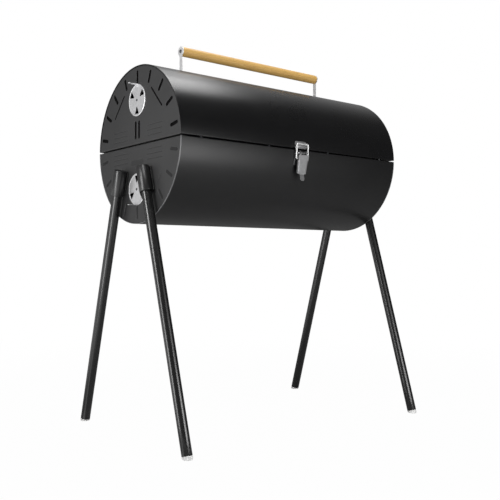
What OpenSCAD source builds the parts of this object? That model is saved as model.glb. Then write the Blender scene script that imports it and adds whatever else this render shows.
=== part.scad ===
// Barrel charcoal grill: a steel drum split along its axis into a base and a hinged lid, on four splayed tube legs.
// X runs along the drum, the latch is at the front (-Y), Z is up. The origin is on the ground under the drum's centre.

/* [Drum] */
// Outside diameter of the closed drum
drum_d = 380; // [340:2:440]
// Length of the drum
drum_l = 716; // [600:2:860]
// Height of the drum's axis, which is also the seam, above the ground
axis_h = 698; // [600:1:800]
// Thickness of the shell sheet
sheet_t = 1.2; // [0.8:0.1:2]
// Open gap between lid and base along the seam
seam_gap = 3; // [2:0.5:5]
// Width of the rim folded inwards along each seam edge
rim_w = 8; // [6:0.5:12]
// Distance of the outer rim studs from the ends of the drum
stud_inset = 58; // [40:1:120]

/* [End plates] */
// Thickness of the end plates
plate_t = 1.2; // [0.8:0.1:2]
// How far the end plates are set in from the ends of the shells
plate_recess = 1; // [0.5:0.5:4]
// Depth of the flange folded inwards around each end plate
plate_flange = 10; // [6:1:16]
// Length of the pressed tick marks near the rim
tick_l = 27; // [10:1:40]
// Distance from the plate's edge to the tick marks
tick_inset = 12; // [6:1:20]
// Width of the pressed marks
tick_w = 4; // [2:0.5:6]
// Depth of the pressed marks
mark_depth = 0.5; // [0.2:0.1:0.6]

/* [Dampers] */
// Distance of each damper's centre from the drum's axis
vent_offset = 107; // [95:1:115]
// Diameter of the damper discs
damper_d = 77; // [64:1:84]
// Thickness of the damper discs
damper_t = 1; // [0.8:0.1:2]
// Radius at which the air holes start
vent_in = 13; // [10:0.5:18]
// Radius at which the air holes end
vent_out = 33; // [24:0.5:34]
// Width of an air hole at its outer end
vent_w = 18; // [8:1:20]
// Diameter of the damper rivets
damper_pin_d = 5; // [4:0.5:8]
// Length of the finger tab
tab_l = 24; // [12:1:32]
// Width of the finger tab
tab_w = 13; // [8:1:20]

/* [Legs] */
// Diameter of the leg tubes
leg_d = 24; // [18:0.5:28]
// Wall of the leg tubes
leg_wall = 1.2; // [0.8:0.1:2]
// Distance between the front and rear feet, centre to centre, on the ground
foot_spread = 480; // [380:2:560]
// Distance between the front and rear socket tops, centre to centre
socket_spread = 104; // [90:2:140]
// Height of the drum's axis above the socket tops
socket_drop = 59; // [40:1:80]
// Outside diameter of the leg sockets
socket_d = 32; // [29:0.5:36]
// Length of the leg sockets
socket_l = 62; // [45:1:80]
// Thickness of the plate that closes each socket
socket_cap = 3; // [2:0.5:6]
// Length of the visible part of a foot cap along the leg
foot_h = 8.5; // [7:0.5:14]
// Diameter of the threaded studs in the sockets
stud_d = 8; // [6:1:10]

/* [Grates] */
// Depth of the cooking surface below the drum's axis
cooking_drop = 12; // [8:1:40]
// Diameter of the grate frame rods
frame_rod = 6; // [5.5:0.5:8]
// Diameter of the cooking bars
cooking_bar = 4; // [3:0.5:5]
// Spacing of the cooking bars
cooking_pitch = 14; // [10:1:20]
// Depth of the charcoal grate below the drum's axis
charcoal_drop = 115; // [100:1:130]
// Diameter of the charcoal bars
charcoal_bar = 5; // [4:0.5:5.4]
// Spacing of the charcoal bars
charcoal_pitch = 20; // [14:1:30]
// Width of the grate rails' shelf
rail_w = 20; // [16:1:26]
// Thickness of the grate rails
rail_t = 1.5; // [1:0.1:3]

/* [Hinges] */
// Distance of each hinge from the ends of the drum
hinge_inset = 143; // [100:1:180]
// Width of a hinge
hinge_w = 50; // [40:1:70]
// Thickness of the hinge leaves
leaf_t = 2; // [1.5:0.1:3]
// Height of a hinge leaf
leaf_h = 36; // [28:1:50]
// Outside diameter of the hinge knuckles
knuckle_d = 9; // [8:0.5:11]
// Diameter of the hinge pins
hinge_pin_d = 5; // [4:0.5:6]
// Distance of the pin axis outside the drum
pin_out = 6; // [5.8:0.1:8]
// Angle at which the opened lid meets its stops
open_angle = 105; // [90:1:110]

/* [Handle] */
// Diameter of the handle bar
handle_d = 24; // [20:1:32]
// Length of the handle bar
handle_l = 462; // [360:2:520]
// Height of the handle's axis above the top of the drum
handle_rise = 57; // [44:1:75]
// Thickness of the bracket strips
bracket_t = 2; // [2:0.5:4]
// Width of the bracket strips
bracket_w = 10; // [10:1:18]
// Length of the bracket feet
bracket_foot = 24; // [20:1:36]
// Diameter of the bracket bolts
bolt_d = 6; // [5:1:8]
// Diameter of the handle screws
screw_d = 5; // [4:0.5:6]

/* [Latch] */
// Width of the latch bail between the middles of its side wires
bail_w = 38; // [36:1:44]
// Diameter of the bail wire
wire_d = 3; // [2.5:0.5:4]
// Height of the bail's bar above the seam
bar_z = 12; // [11:0.5:15]
// Distance of the bail's bar from the drum
bar_out = 7.8; // [7:0.1:9]
// Depth of the lever's pivot below the seam
pivot_drop = 10; // [9:0.5:13]
// Distance of the lever's pivot from the drum
pivot_out = 8; // [7.5:0.1:10]
// Diameter of the lever's pivot pin
pivot_d = 4; // [3:0.5:5]
// Distance from the pivot to the bail's pivot on the lever
bail_drop = 14.7; // [13:0.1:18]
// Width of the lever across its neck
neck_w = 22; // [20:1:23]
// Greatest width of the lever
lever_w = 31; // [27:1:33]
// Length of the lever's body below the pivot
lever_l = 52; // [40:1:70]
// Thickness of the latch sheet
latch_t = 1.5; // [1:0.1:2]
// Width of the catch plate
catch_w = 40; // [38:1:50]

/* [Hidden] */
$fn = 72;
drum_r = drum_d / 2;
inner_r = drum_r - sheet_t;
half_gap = seam_gap / 2;
apex_h = axis_h + drum_r;
stud_x = drum_l / 2 - stud_inset;

// clearances
weld_gap = 0.05;   // between sheets that are spot-welded or riveted together
pin_gap = 0.06;    // around a pin in its bore, on the radius
seat_gap = 0.3;    // between faces that move on each other
stop_gap = 1.2;    // degrees left between the lid's stops when it is open

// end plates: plate_x is the outer face, plate_in is where the folded flange ends
plate_r = inner_r - weld_gap;
plate_x = drum_l / 2 - plate_recess;
plate_in = plate_x - plate_t - plate_flange;
tick_angles = [for (a = [10 : 20 : 170]) a];

// rivets
rivet_d = 4;
rivet_head_d = 7;
rivet_head_h = 1.6;
curve_seat = 0.1;  // lifts a flat head off a curved wall
wall_hole_in = 6;

// dampers
damper_head_d = 10;
damper_head_h = 2;
disc_x = plate_x + seat_gap;

// legs: each has a frame of its own, with the socket's top at the origin and the leg along -Z
leg_x = plate_x + socket_d / 2;
leg_run = (foot_spread - socket_spread) / 2;
leg_drop = axis_h - socket_drop;
splay = atan(leg_run / leg_drop);
leg_axis_l = sqrt(leg_run * leg_run + leg_drop * leg_drop);
leg_fit = 0.2;
leg_top = socket_cap + 1;
insert_l = 16;
stud_l = 14;
plug_l = 18;
saddle_w = 18;
saddle_inset = 4;

// grates
rim_clear = 4.8;
cooking_half = inner_r - rim_w - rim_clear;
grate_end_gap = 1;
grate_split = 4;
frame_bend = 12;
grate_end = plate_in - grate_end_gap;
charcoal_half = sqrt(pow(inner_r - seat_gap - frame_rod / 2, 2) - pow(charcoal_drop, 2));
rail_top = cooking_drop + frame_rod + seat_gap;
rail_half_l = plate_in - 16;
rail_skirt = 8;

// hinges
hinge_x = drum_l / 2 - hinge_inset;
pin_y = drum_r + pin_out;
leaf_start = 6;
knuckle_gap = 0.5;
mid_knuckle = 20;
web_out = 0.3;
web_t = 4;
stop_from = 50;
stop_reach = 14;
stop_t = 3;
hinge_rivet_x = 16;
hinge_rivet_z = 32;

// handle
handle_z = apex_h + handle_rise;
handle_chamfer = 2;
bend_r = 4;
bracket_bolt_x = handle_l / 2 - 14;
screw_l = 30;
screw_head_d = 9;
screw_head_h = 3;
button_d = 10.5;
button_h = 3.3;
washer_d = 12;
washer_t = 1.2;
nut_w = 11.5;
nut_h = 5;

// latch
latch_half = 22;
latch_low = 40;
ear_gap = 1.3;
ear_r = 4.5;
lever_top_r = 5.5;
lever_face = 6.5;
lever_tilt = 10;
lever_low_w = lever_w - 4;
lever_skirt = 5.5;
tail_w = 13;
tail_l = 17;
tail_bend = 20;
catch_low = 2;
catch_high = 20;
catch_corner = 6;
lip_z = 4;
lip_gap = 0.6;
pivot_head_d = 6.5;
pivot_head_h = 1.2;
latch_head_d = 5;
latch_head_h = 0.8;
latch_rivets_at = [[-18, -12], [18, -12], [-8, -33], [8, -33]];
catch_rivets_at = [[-13.5, 15.5], [13.5, 15.5]];

function front_y(z, out) = -sqrt(pow(drum_r + out, 2) - z * z);
pivot_y = front_y(-pivot_drop, pivot_out);
pivot_z = axis_h - pivot_drop;
bail_y = pivot_y + bail_drop * sin(lever_tilt);
bail_z = pivot_z - bail_drop * cos(lever_tilt);
bar_y = front_y(bar_z, bar_out);
lip_y = bar_y + wire_d / 2 + lip_gap;

enamel = "#2b2b2b";
steel = "#c9c9c9";
latch_grey = "#8a8a8a";
grate_steel = "#9a9a98";
fastener_dark = "#3a3a3a";

// ---------- shared shapes ----------

// a tube on the drum's axis
module drum_ring(r_in, r_out, l)
    translate([0, 0, axis_h]) rotate([0, 90, 0]) difference() {
        cylinder(h = l, r = r_out, center = true);
        cylinder(h = l + 2, r = r_in, center = true);
    }

// everything above (side 1) or below (side -1) the seam, starting gap away from it
module seam_side(side, gap)
    translate([-drum_l, -drum_d, side > 0 ? axis_h + gap : axis_h - gap - drum_d])
        cube([2 * drum_l, 2 * drum_d, drum_d]);

// puts its children on the drum's wall: +Z points outwards at angle a, counted from the rear through the top
module on_wall(x, a)
    translate([x, 0, axis_h]) rotate([a - 90, 0, 0]) children();

// the angle on the drum's wall of a point at height z from the seam, at the rear or the front
function rear_angle(z) = asin(z / drum_r);
function front_angle(z) = 180 - asin(z / drum_r);

// a low domed head standing on z = 0
module dome(d, h) {
    ball_r = (d * d / 4 + h * h) / (2 * h);
    intersection() {
        translate([0, 0, h - ball_r]) sphere(r = ball_r);
        cylinder(h = h, d = d);
    }
}

// where rivets go through the shell: they put their children on the wall there
module hinge_rivet_places(side)
    for (x_side = [-1, 1], rx = [-1, 1])
        on_wall(x_side * hinge_x + rx * hinge_rivet_x, rear_angle(side * hinge_rivet_z)) children();

module front_rivet_places(points)
    for (p = points) on_wall(p[0], front_angle(p[1])) children();

// a rivet through the shell and a sheet on its outside that ends at radius r_out
module wall_rivet(r_out, head_d, head_h) {
    translate([0, 0, inner_r - curve_seat]) cylinder(h = r_out - inner_r + 2 * curve_seat, d = rivet_d);
    translate([0, 0, r_out + curve_seat]) dome(head_d, head_h);
    translate([0, 0, inner_r - curve_seat]) mirror([0, 0, 1]) dome(rivet_head_d, rivet_head_h);
}

// a hole through the wall and what lies on it
module wall_hole(d)
    translate([0, 0, inner_r - wall_hole_in]) cylinder(h = 2 * wall_hole_in, d = d + 2 * pin_gap);

// ---------- drum ----------

module half_shell(side)
    difference() {
        union() {
            intersection() {
                drum_ring(inner_r, drum_r, drum_l);
                seam_side(side, half_gap);
            }
            for (y_side = [-1, 1])
                translate([seat_gap - plate_in, y_side > 0 ? inner_r - rim_w : -drum_r + sheet_t / 2,
                           side > 0 ? axis_h + half_gap : axis_h - half_gap - sheet_t])
                    cube([2 * (plate_in - seat_gap), rim_w + sheet_t / 2, sheet_t]);
        }
        hinge_rivet_places(side) wall_hole(rivet_d);
    }

module base_shell()
    color(enamel) difference() {
        half_shell(-1);
        front_rivet_places(latch_rivets_at) wall_hole(rivet_d);
        rim_stud_places() translate([0, 0, -2 * sheet_t]) cylinder(h = 3 * sheet_t, d = rivet_d + 2 * pin_gap);
    }

module lid_shell()
    color(enamel) difference() {
        half_shell(1);
        front_rivet_places(catch_rivets_at) wall_hole(rivet_d);
        for (x_side = [-1, 1]) on_wall(x_side * bracket_bolt_x, 90) wall_hole(bolt_d);
    }

module rim_stud_places()
    for (x = [-stud_x, -stud_x / 3, stud_x / 3, stud_x])
        translate([x, -(inner_r - rim_w / 2), axis_h - half_gap]) children();

module rim_studs()
    color(fastener_dark) rim_stud_places() {
        cylinder(h = seam_gap - seat_gap, d = rim_w - 2);
        translate([0, 0, -sheet_t]) cylinder(h = sheet_t, d = rivet_d);
        translate([0, 0, -sheet_t]) mirror([0, 0, 1]) dome(rim_w - 2, rivet_head_h);
    }

// ---------- end plates ----------

// the plan of the three air holes, between radius vent_in and vent_out
module vent_holes(first)
    for (a = [first, first + 120, first + 240])
        rotate(a) polygon([[vent_in, 0], [vent_out, -vent_w / 2], [vent_out, vent_w / 2]]);

// puts its children in the plane of the plate's outer face: x' = y, y' = z, z' outwards
module on_plate(x_side, out = plate_x)
    translate([x_side * out, 0, axis_h]) mirror([x_side > 0 ? 0 : 1, 0, 0])
        rotate([90, 0, 90]) children();

module groove(x1, y1, x2, y2)
    translate([x1, y1, -mark_depth]) rotate(atan2(y2 - y1, x2 - x1)) translate([0, -tick_w / 2, 0])
        cube([norm([x2 - x1, y2 - y1]), tick_w, 2 * mark_depth]);

module plate_marks(z_side) {
    for (a = tick_angles) rotate(z_side * a)
        translate([plate_r - tick_inset - tick_l, -tick_w / 2, -mark_depth]) cube([tick_l, tick_w, 2 * mark_depth]);
    for (y_side = [-1, 1]) {
        groove(8.5 * y_side, z_side * 16, 8.5 * y_side, z_side * 55);
        groove(y_side * 109, z_side * 78, y_side * 64, z_side * 126);
    }
}

module end_plate(x_side, z_side)
    color(enamel) difference() {
        intersection() {
            on_plate(x_side) translate([0, 0, -plate_t - plate_flange]) cylinder(h = plate_t + plate_flange, r = plate_r);
            seam_side(z_side, half_gap);
        }
        intersection() {
            on_plate(x_side) translate([0, 0, -plate_t - plate_flange - 1])
                cylinder(h = plate_flange + 1, r = plate_r - plate_t);
            seam_side(z_side, half_gap + plate_t);
        }
        on_plate(x_side) {
            plate_marks(z_side);
            translate([0, z_side * vent_offset, -plate_t - 1]) {
                linear_extrude(plate_t + 2) vent_holes(z_side * 30);
                cylinder(h = plate_t + 2, d = damper_pin_d + 2 * pin_gap);
            }
        }
    }

// ---------- dampers ----------

module damper(x_side, z_side)
    color(steel) on_plate(x_side, disc_x) translate([0, z_side * vent_offset, 0]) rotate(z_side > 0 ? 0 : 180)
        difference() {
            union() {
                cylinder(h = damper_t, d = damper_d);
                translate([0, damper_d / 2 - damper_t, 0]) rotate([90, 0, 0])
                    linear_extrude(damper_t) polygon([[-tab_w / 2, 0], [tab_w / 2, 0], [tab_w / 4, tab_l],
                                                      [-tab_w / 4, tab_l]]);
            }
            translate([0, 0, -1]) {
                linear_extrude(damper_t + 2) vent_holes(30);
                cylinder(h = damper_t + 2, d = damper_pin_d + 2 * pin_gap);
            }
        }

module damper_rivets(z_side)
    color(fastener_dark) for (x_side = [-1, 1])
        on_plate(x_side) translate([0, z_side * vent_offset, 0]) {
            translate([0, 0, -plate_t]) cylinder(h = plate_t + damper_t + 2 * seat_gap, d = damper_pin_d);
            translate([0, 0, damper_t + 2 * seat_gap]) dome(damper_head_d, damper_head_h);
            translate([0, 0, -plate_t]) mirror([0, 0, 1]) dome(damper_head_d, damper_head_h);
        }

// ---------- legs ----------

module leg_frame(x_side, y_side)
    translate([x_side * leg_x, y_side * socket_spread / 2, axis_h - socket_drop])
        rotate([y_side * splay, 0, 0]) mirror([x_side > 0 ? 0 : 1, 0, 0]) children();

module socket(x_side, y_side)
    color(enamel) leg_frame(x_side, y_side) difference() {
        union() {
            translate([0, 0, -socket_l]) cylinder(h = socket_l, d = socket_d);
            translate([-socket_d / 2, -saddle_w / 2, saddle_inset - socket_l])
                cube([(socket_d - leg_d) / 2, saddle_w, socket_l - 2 * saddle_inset]);
        }
        translate([0, 0, -socket_l - 1]) cylinder(h = socket_l - socket_cap + 1, d = leg_d + 2 * leg_fit);
    }

module leg(x_side, y_side)
    color(enamel) leg_frame(x_side, y_side) translate([0, 0, foot_h - leg_axis_l]) difference() {
        cylinder(h = leg_axis_l - foot_h - leg_top, d = leg_d);
        translate([0, 0, -1]) cylinder(h = leg_axis_l - foot_h - leg_top + 2, d = leg_d - 2 * leg_wall);
    }

module foot(x_side, y_side)
    color("#e8e8e4") difference() {
        leg_frame(x_side, y_side) {
            translate([0, 0, -leg_axis_l - leg_d]) cylinder(h = foot_h + leg_d, d = leg_d);
            translate([0, 0, foot_h - leg_axis_l]) cylinder(h = plug_l, d = leg_d - 2 * leg_wall - 2 * pin_gap);
        }
        translate([-drum_l, -foot_spread, -axis_h]) cube([2 * drum_l, 2 * foot_spread, axis_h]);
    }

module leg_inserts()
    color(steel) for (x_side = [-1, 1], y_side = [-1, 1])
        leg_frame(x_side, y_side) translate([0, 0, -leg_top - insert_l]) difference() {
            cylinder(h = insert_l, d = leg_d - 2 * leg_wall - 2 * pin_gap);
            translate([0, 0, -1]) cylinder(h = insert_l + 2, d = stud_d + 2 * pin_gap);
        }

module leg_studs()
    color(steel) for (x_side = [-1, 1], y_side = [-1, 1])
        leg_frame(x_side, y_side) translate([0, 0, -socket_cap - stud_l]) cylinder(h = stud_l, d = stud_d);

// ---------- grates ----------

// a shelf with a short skirt against the wall, notched where a rivet's inner head is in its way
module grate_rail(y_side)
    color(enamel) difference() {
        union() {
            intersection() {
                drum_ring(inner_r - weld_gap - rail_t, inner_r - weld_gap, 2 * rail_half_l);
                translate([-drum_l, y_side > 0 ? 0 : -drum_d, axis_h - rail_top - rail_skirt])
                    cube([2 * drum_l, drum_d, rail_skirt]);
            }
            intersection() {
                drum_ring(inner_r - rim_w - rail_w, inner_r - weld_gap - rail_t / 2, 2 * rail_half_l);
                translate([-drum_l, y_side > 0 ? inner_r - rail_w : -inner_r, axis_h - rail_top - rail_t])
                    cube([2 * drum_l, rail_w, rail_t]);
            }
        }
        if (y_side > 0) hinge_rivet_places(-1) wall_hole(rivet_head_d + 1);
        else front_rivet_places(latch_rivets_at) wall_hole(rivet_head_d + 1);
    }

// a quarter bend of rod from the origin: it starts along +X and ends along +Y, bend radius r
module rod_bend(r, d)
    translate([0, r, 0]) rotate([0, 0, -90]) rotate_extrude(angle = 90) translate([r, 0]) circle(d = d);

// a bent rectangular rod frame with its top at z = 0, filled with bars that run front to rear and are welded
// between its long sides
module grate(x1, x2, half_w, bar_d, pitch) {
    rod_r = frame_rod / 2;
    half_l = (x2 - x1) / 2 - rod_r;
    rod_y = half_w - rod_r;
    first_x = half_l - frame_bend - bar_d;
    count = floor(2 * first_x / pitch);
    translate([(x1 + x2) / 2, 0, 0]) {
        for (turn = [0, 180]) rotate(turn) translate([0, 0, -rod_r]) {
            translate([frame_bend - half_l, -rod_y, 0]) rotate([0, 90, 0])
                cylinder(h = 2 * (half_l - frame_bend), d = frame_rod);
            translate([half_l - frame_bend, -rod_y, 0]) rod_bend(frame_bend, frame_rod);
            translate([half_l, frame_bend - rod_y, 0]) rotate([-90, 0, 0])
                cylinder(h = 2 * (rod_y - frame_bend), d = frame_rod);
            translate([half_l, rod_y - frame_bend, 0]) rotate(90) rod_bend(frame_bend, frame_rod);
        }
        for (i = [0 : count])
            translate([first_x * (2 * i / count - 1), -rod_y, -rod_r]) rotate([-90, 0, 0])
                cylinder(h = 2 * rod_y, d = bar_d);
    }
}

module cooking_grate(x_side)
    color(grate_steel) translate([0, 0, axis_h - cooking_drop])
        grate(x_side > 0 ? grate_split / 2 : -grate_end, x_side > 0 ? grate_end : -grate_split / 2,
              cooking_half, cooking_bar, cooking_pitch);

module charcoal_grate()
    color(grate_steel) translate([0, 0, axis_h - charcoal_drop + frame_rod / 2])
        grate(-grate_end, grate_end, charcoal_half + frame_rod / 2, charcoal_bar, charcoal_pitch);

// ---------- hinges ----------

module hinge_leaf(side)
    intersection() {
        drum_ring(drum_r + weld_gap, drum_r + weld_gap + leaf_t, drum_l);
        translate([-hinge_w / 2, 0, side > 0 ? axis_h + leaf_start : axis_h - leaf_start - leaf_h])
            cube([hinge_w, drum_d, leaf_h]);
    }

module knuckle(x1, x2, side) {
    translate([x1, pin_y, axis_h]) rotate([0, 90, 0]) cylinder(h = x2 - x1, d = knuckle_d);
    translate([x1, drum_r + web_out, side > 0 ? axis_h : axis_h - 2 * leaf_start])
        cube([x2 - x1, web_t, 2 * leaf_start]);
}

module hinge_bore()
    translate([-drum_l / 2, pin_y, axis_h]) rotate([0, 90, 0]) cylinder(h = drum_l, d = hinge_pin_d + 2 * pin_gap);

// a stop face through the pin's axis at an angle from the rear, backed by metal on its upper (1) or lower (-1) side
module stop_fin(angle, backing, from)
    translate([-mid_knuckle / 2 + 1, pin_y, axis_h]) rotate([angle, 0, 0])
        translate([0, from, backing > 0 ? 0 : -stop_t]) cube([mid_knuckle - 2, stop_reach - from, stop_t]);

module hinge_lid(x_side)
    color(enamel) difference() {
        translate([x_side * hinge_x, 0, 0]) {
            hinge_leaf(1);
            knuckle(-mid_knuckle / 2, mid_knuckle / 2, 1);
            stop_fin(stop_from, 1, knuckle_d / 4);
        }
        hinge_bore();
        hinge_rivet_places(1) wall_hole(rivet_d);
    }

module hinge_base(x_side)
    color(enamel) difference() {
        translate([x_side * hinge_x, 0, 0]) {
            hinge_leaf(-1);
            knuckle(-hinge_w / 2, -mid_knuckle / 2 - knuckle_gap, -1);
            knuckle(mid_knuckle / 2 + knuckle_gap, hinge_w / 2, -1);
            stop_fin(stop_from - open_angle - stop_gap, -1, knuckle_d / 2 + 0.7);
            translate([-mid_knuckle / 2 + 1, drum_r + web_out, axis_h - 2 * leaf_start])
                cube([mid_knuckle - 2, pin_out + stop_t, web_t]);
        }
        hinge_bore();
        hinge_rivet_places(-1) wall_hole(rivet_d);
    }

module hinge_pin(x_side)
    color(steel) translate([x_side * hinge_x, pin_y, axis_h]) rotate([0, 90, 0]) {
        cylinder(h = hinge_w + 2 * seat_gap, d = hinge_pin_d, center = true);
        for (end = [-1, 1]) mirror([0, 0, end > 0 ? 0 : 1])
            translate([0, 0, hinge_w / 2 + seat_gap]) dome(knuckle_d - 1, rivet_head_h);
    }

module hinge_rivets(side)
    color(fastener_dark) hinge_rivet_places(side)
        wall_rivet(drum_r + weld_gap + leaf_t, rivet_head_d, rivet_head_h);

// ---------- handle ----------

module handle_bar()
    color("#c9a15a") translate([0, 0, handle_z]) rotate([0, 90, 0]) difference() {
        rotate_extrude() polygon([[0, -handle_l / 2], [handle_d / 2 - handle_chamfer, -handle_l / 2],
                                  [handle_d / 2, handle_chamfer - handle_l / 2],
                                  [handle_d / 2, handle_l / 2 - handle_chamfer],
                                  [handle_d / 2 - handle_chamfer, handle_l / 2], [0, handle_l / 2]]);
        for (end = [-1, 1]) translate([0, 0, end * handle_l / 2])
            cylinder(h = 2 * screw_l + 2, d = screw_d + 2 * pin_gap, center = true);
    }

module handle_bracket(x_side)
    color(steel) mirror([x_side > 0 ? 0 : 1, 0, 0]) translate([handle_l / 2, 0, 0]) difference() {
        union() {
            translate([0, bracket_w / 2, apex_h]) rotate([90, 0, 0]) linear_extrude(bracket_w) {
                translate([0, bend_r]) square([bracket_t, handle_rise - bend_r]);
                translate([bracket_t - bracket_foot, 0]) square([bracket_foot - bend_r, bracket_t]);
                intersection() {
                    translate([bracket_t - bend_r, bend_r]) difference() {
                        circle(r = bend_r);
                        circle(r = bend_r - bracket_t);
                    }
                    translate([bracket_t - bend_r, 0]) square(bend_r);
                }
            }
            translate([0, 0, handle_z]) rotate([0, 90, 0]) cylinder(h = bracket_t, d = handle_d);
        }
        translate([-1, 0, handle_z]) rotate([0, 90, 0]) cylinder(h = bracket_t + 2, d = screw_d + 2 * pin_gap);
        translate([bracket_bolt_x - handle_l / 2, 0, apex_h - 1]) cylinder(h = bracket_t + 2, d = bolt_d + 2 * pin_gap);
    }

module handle_screws()
    color(fastener_dark) for (x_side = [-1, 1]) mirror([x_side > 0 ? 0 : 1, 0, 0])
        translate([handle_l / 2 + bracket_t, 0, handle_z]) rotate([0, 90, 0]) {
            translate([0, 0, -screw_l]) cylinder(h = screw_l, d = screw_d);
            dome(screw_head_d, screw_head_h);
        }

module bracket_bolts()
    color(steel) for (x_side = [-1, 1]) translate([x_side * bracket_bolt_x, 0, apex_h + bracket_t]) {
        dome(button_d, button_h);
        translate([0, 0, -bracket_t - sheet_t - curve_seat - washer_t - nut_h - 1])
            cylinder(h = bracket_t + sheet_t + curve_seat + washer_t + nut_h + 1, d = bolt_d);
    }

module bracket_washers()
    color(steel) for (x_side = [-1, 1])
        translate([x_side * bracket_bolt_x, 0, axis_h + inner_r - curve_seat - washer_t]) difference() {
            cylinder(h = washer_t, d = washer_d);
            translate([0, 0, -1]) cylinder(h = washer_t + 2, d = bolt_d + 2 * pin_gap);
        }

module bracket_nuts()
    color(steel) for (x_side = [-1, 1])
        translate([x_side * bracket_bolt_x, 0, axis_h + inner_r - curve_seat - washer_t - nut_h]) difference() {
            cylinder(h = nut_h, d = nut_w, $fn = 6);
            translate([0, 0, -1]) cylinder(h = nut_h + 2, d = bolt_d + 2 * pin_gap);
        }

// ---------- latch ----------

// a sheet that follows the drum's front, cut to a flat outline seen from the front (x, height from the seam)
module front_sheet(t)
    intersection() {
        drum_ring(drum_r + weld_gap, drum_r + weld_gap + t, drum_l);
        translate([0, 0, axis_h]) rotate([90, 0, 0]) linear_extrude(drum_d) children();
    }

module latch_base()
    color(latch_grey) difference() {
        union() {
            front_sheet(latch_t) translate([-latch_half, -latch_low])
                square([2 * latch_half, latch_low - pivot_drop + ear_r]);
            for (x_side = [-1, 1]) translate([x_side * (neck_w / 2 + ear_gap + latch_t / 2), 0, pivot_z])
                difference() {
                    union() {
                        translate([0, pivot_y, 0]) rotate([0, 90, 0]) cylinder(h = latch_t, r = ear_r, center = true);
                        translate([-latch_t / 2, pivot_y, -ear_r]) cube([latch_t, pivot_out + latch_t, 2 * ear_r]);
                    }
                    translate([0, 0, pivot_drop]) rotate([0, 90, 0]) cylinder(h = 3 * latch_t, r = drum_r + latch_t / 2,
                                                                             center = true);
                }
        }
        translate([-latch_half, pivot_y, pivot_z]) rotate([0, 90, 0])
            cylinder(h = 2 * latch_half, d = pivot_d + 2 * pin_gap);
        front_rivet_places(latch_rivets_at) wall_hole(rivet_d);
    }

// the rivets of the latch base (on the base shell) or of the catch plate (on the lid shell)
module front_rivets(points)
    color(latch_grey) front_rivet_places(points)
        wall_rivet(drum_r + weld_gap + latch_t, latch_head_d, latch_head_h);

module latch_pin() {
    half = neck_w / 2 + ear_gap + latch_t + weld_gap;
    color(steel) translate([0, pivot_y, pivot_z]) rotate([0, 90, 0]) {
        cylinder(h = 2 * half, d = pivot_d, center = true);
        for (end = [-1, 1]) mirror([0, 0, end > 0 ? 0 : 1]) translate([0, 0, half]) dome(pivot_head_d, pivot_head_h);
    }
}

// the outline of the lever's face below its neck, drawn in by inset on every side
module lever_outline(inset)
    polygon([[inset - lever_w / 2, -bail_drop - 3 - inset], [lever_w / 2 - inset, -bail_drop - 3 - inset],
             [lever_low_w / 2 - inset, inset - lever_l], [inset - lever_low_w / 2, inset - lever_l]]);

// extrudes a drawing of the lever's face (x, z) from depth y1 to y2
module lever_slab(y1, y2)
    translate([0, y2, 0]) rotate([90, 0, 0]) linear_extrude(y2 - y1) children();

module latch_lever()
    color(latch_grey) translate([0, pivot_y, pivot_z]) rotate([lever_tilt, 0, 0]) difference() {
        union() {
            difference() {
                lever_slab(-lever_face, lever_skirt - lever_face) lever_outline(0);
                lever_slab(latch_t - lever_face, lever_skirt) lever_outline(latch_t);
            }
            lever_slab(-lever_face, latch_t - lever_face)
                translate([-neck_w / 2, -bail_drop - 4]) square([neck_w, bail_drop + 1]);
            for (x_side = [-1, 1]) translate([x_side * (neck_w - latch_t) / 2, 0, 0]) {
                rotate([0, 90, 0]) cylinder(h = latch_t, r = lever_top_r, center = true);
                translate([-latch_t / 2, -lever_face, -bail_drop - 4])
                    cube([latch_t, lever_face + wire_d, bail_drop + 4]);
            }
            translate([0, latch_t / 2 - lever_face, -lever_l]) rotate([-tail_bend, 0, 0])
                translate([-tail_w / 2, -latch_t / 2, -tail_l]) cube([tail_w, latch_t, tail_l + 1]);
        }
        rotate([0, 90, 0]) cylinder(h = 2 * lever_w, d = pivot_d + 2 * pin_gap, center = true);
        translate([0, 0, -bail_drop]) rotate([0, 90, 0])
            cylinder(h = 2 * lever_w, d = wire_d + 2 * pin_gap, center = true);
    }

// bent in its own plane, drawn here lying in XY with the bar along X, then stood up at the lever's bail pivot
module latch_bail() {
    stub_end = neck_w / 2 - latch_t - seat_gap;
    reach = norm([bar_y - bail_y, axis_h + bar_z - bail_z]);
    lean = atan2(bail_y - bar_y, axis_h + bar_z - bail_z);
    bend = wire_d;
    color(steel) translate([0, bail_y, bail_z]) rotate([90 + lean, 0, 0]) {
        translate([bend - bail_w / 2, reach, 0]) rotate([0, 90, 0]) cylinder(h = bail_w - 2 * bend, d = wire_d);
        for (flip = [0, 1]) mirror([flip, 0, 0]) {
            translate([bail_w / 2, reach - bend, 0]) rotate(90) rod_bend(bend, wire_d);
            translate([bail_w / 2, bend, 0]) rotate([-90, 0, 0]) cylinder(h = reach - 2 * bend, d = wire_d);
            translate([bail_w / 2 - bend, 0, 0]) rod_bend(bend, wire_d);
            translate([stub_end, 0, 0]) rotate([0, 90, 0]) cylinder(h = bail_w / 2 - bend - stub_end, d = wire_d);
        }
    }
}

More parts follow.
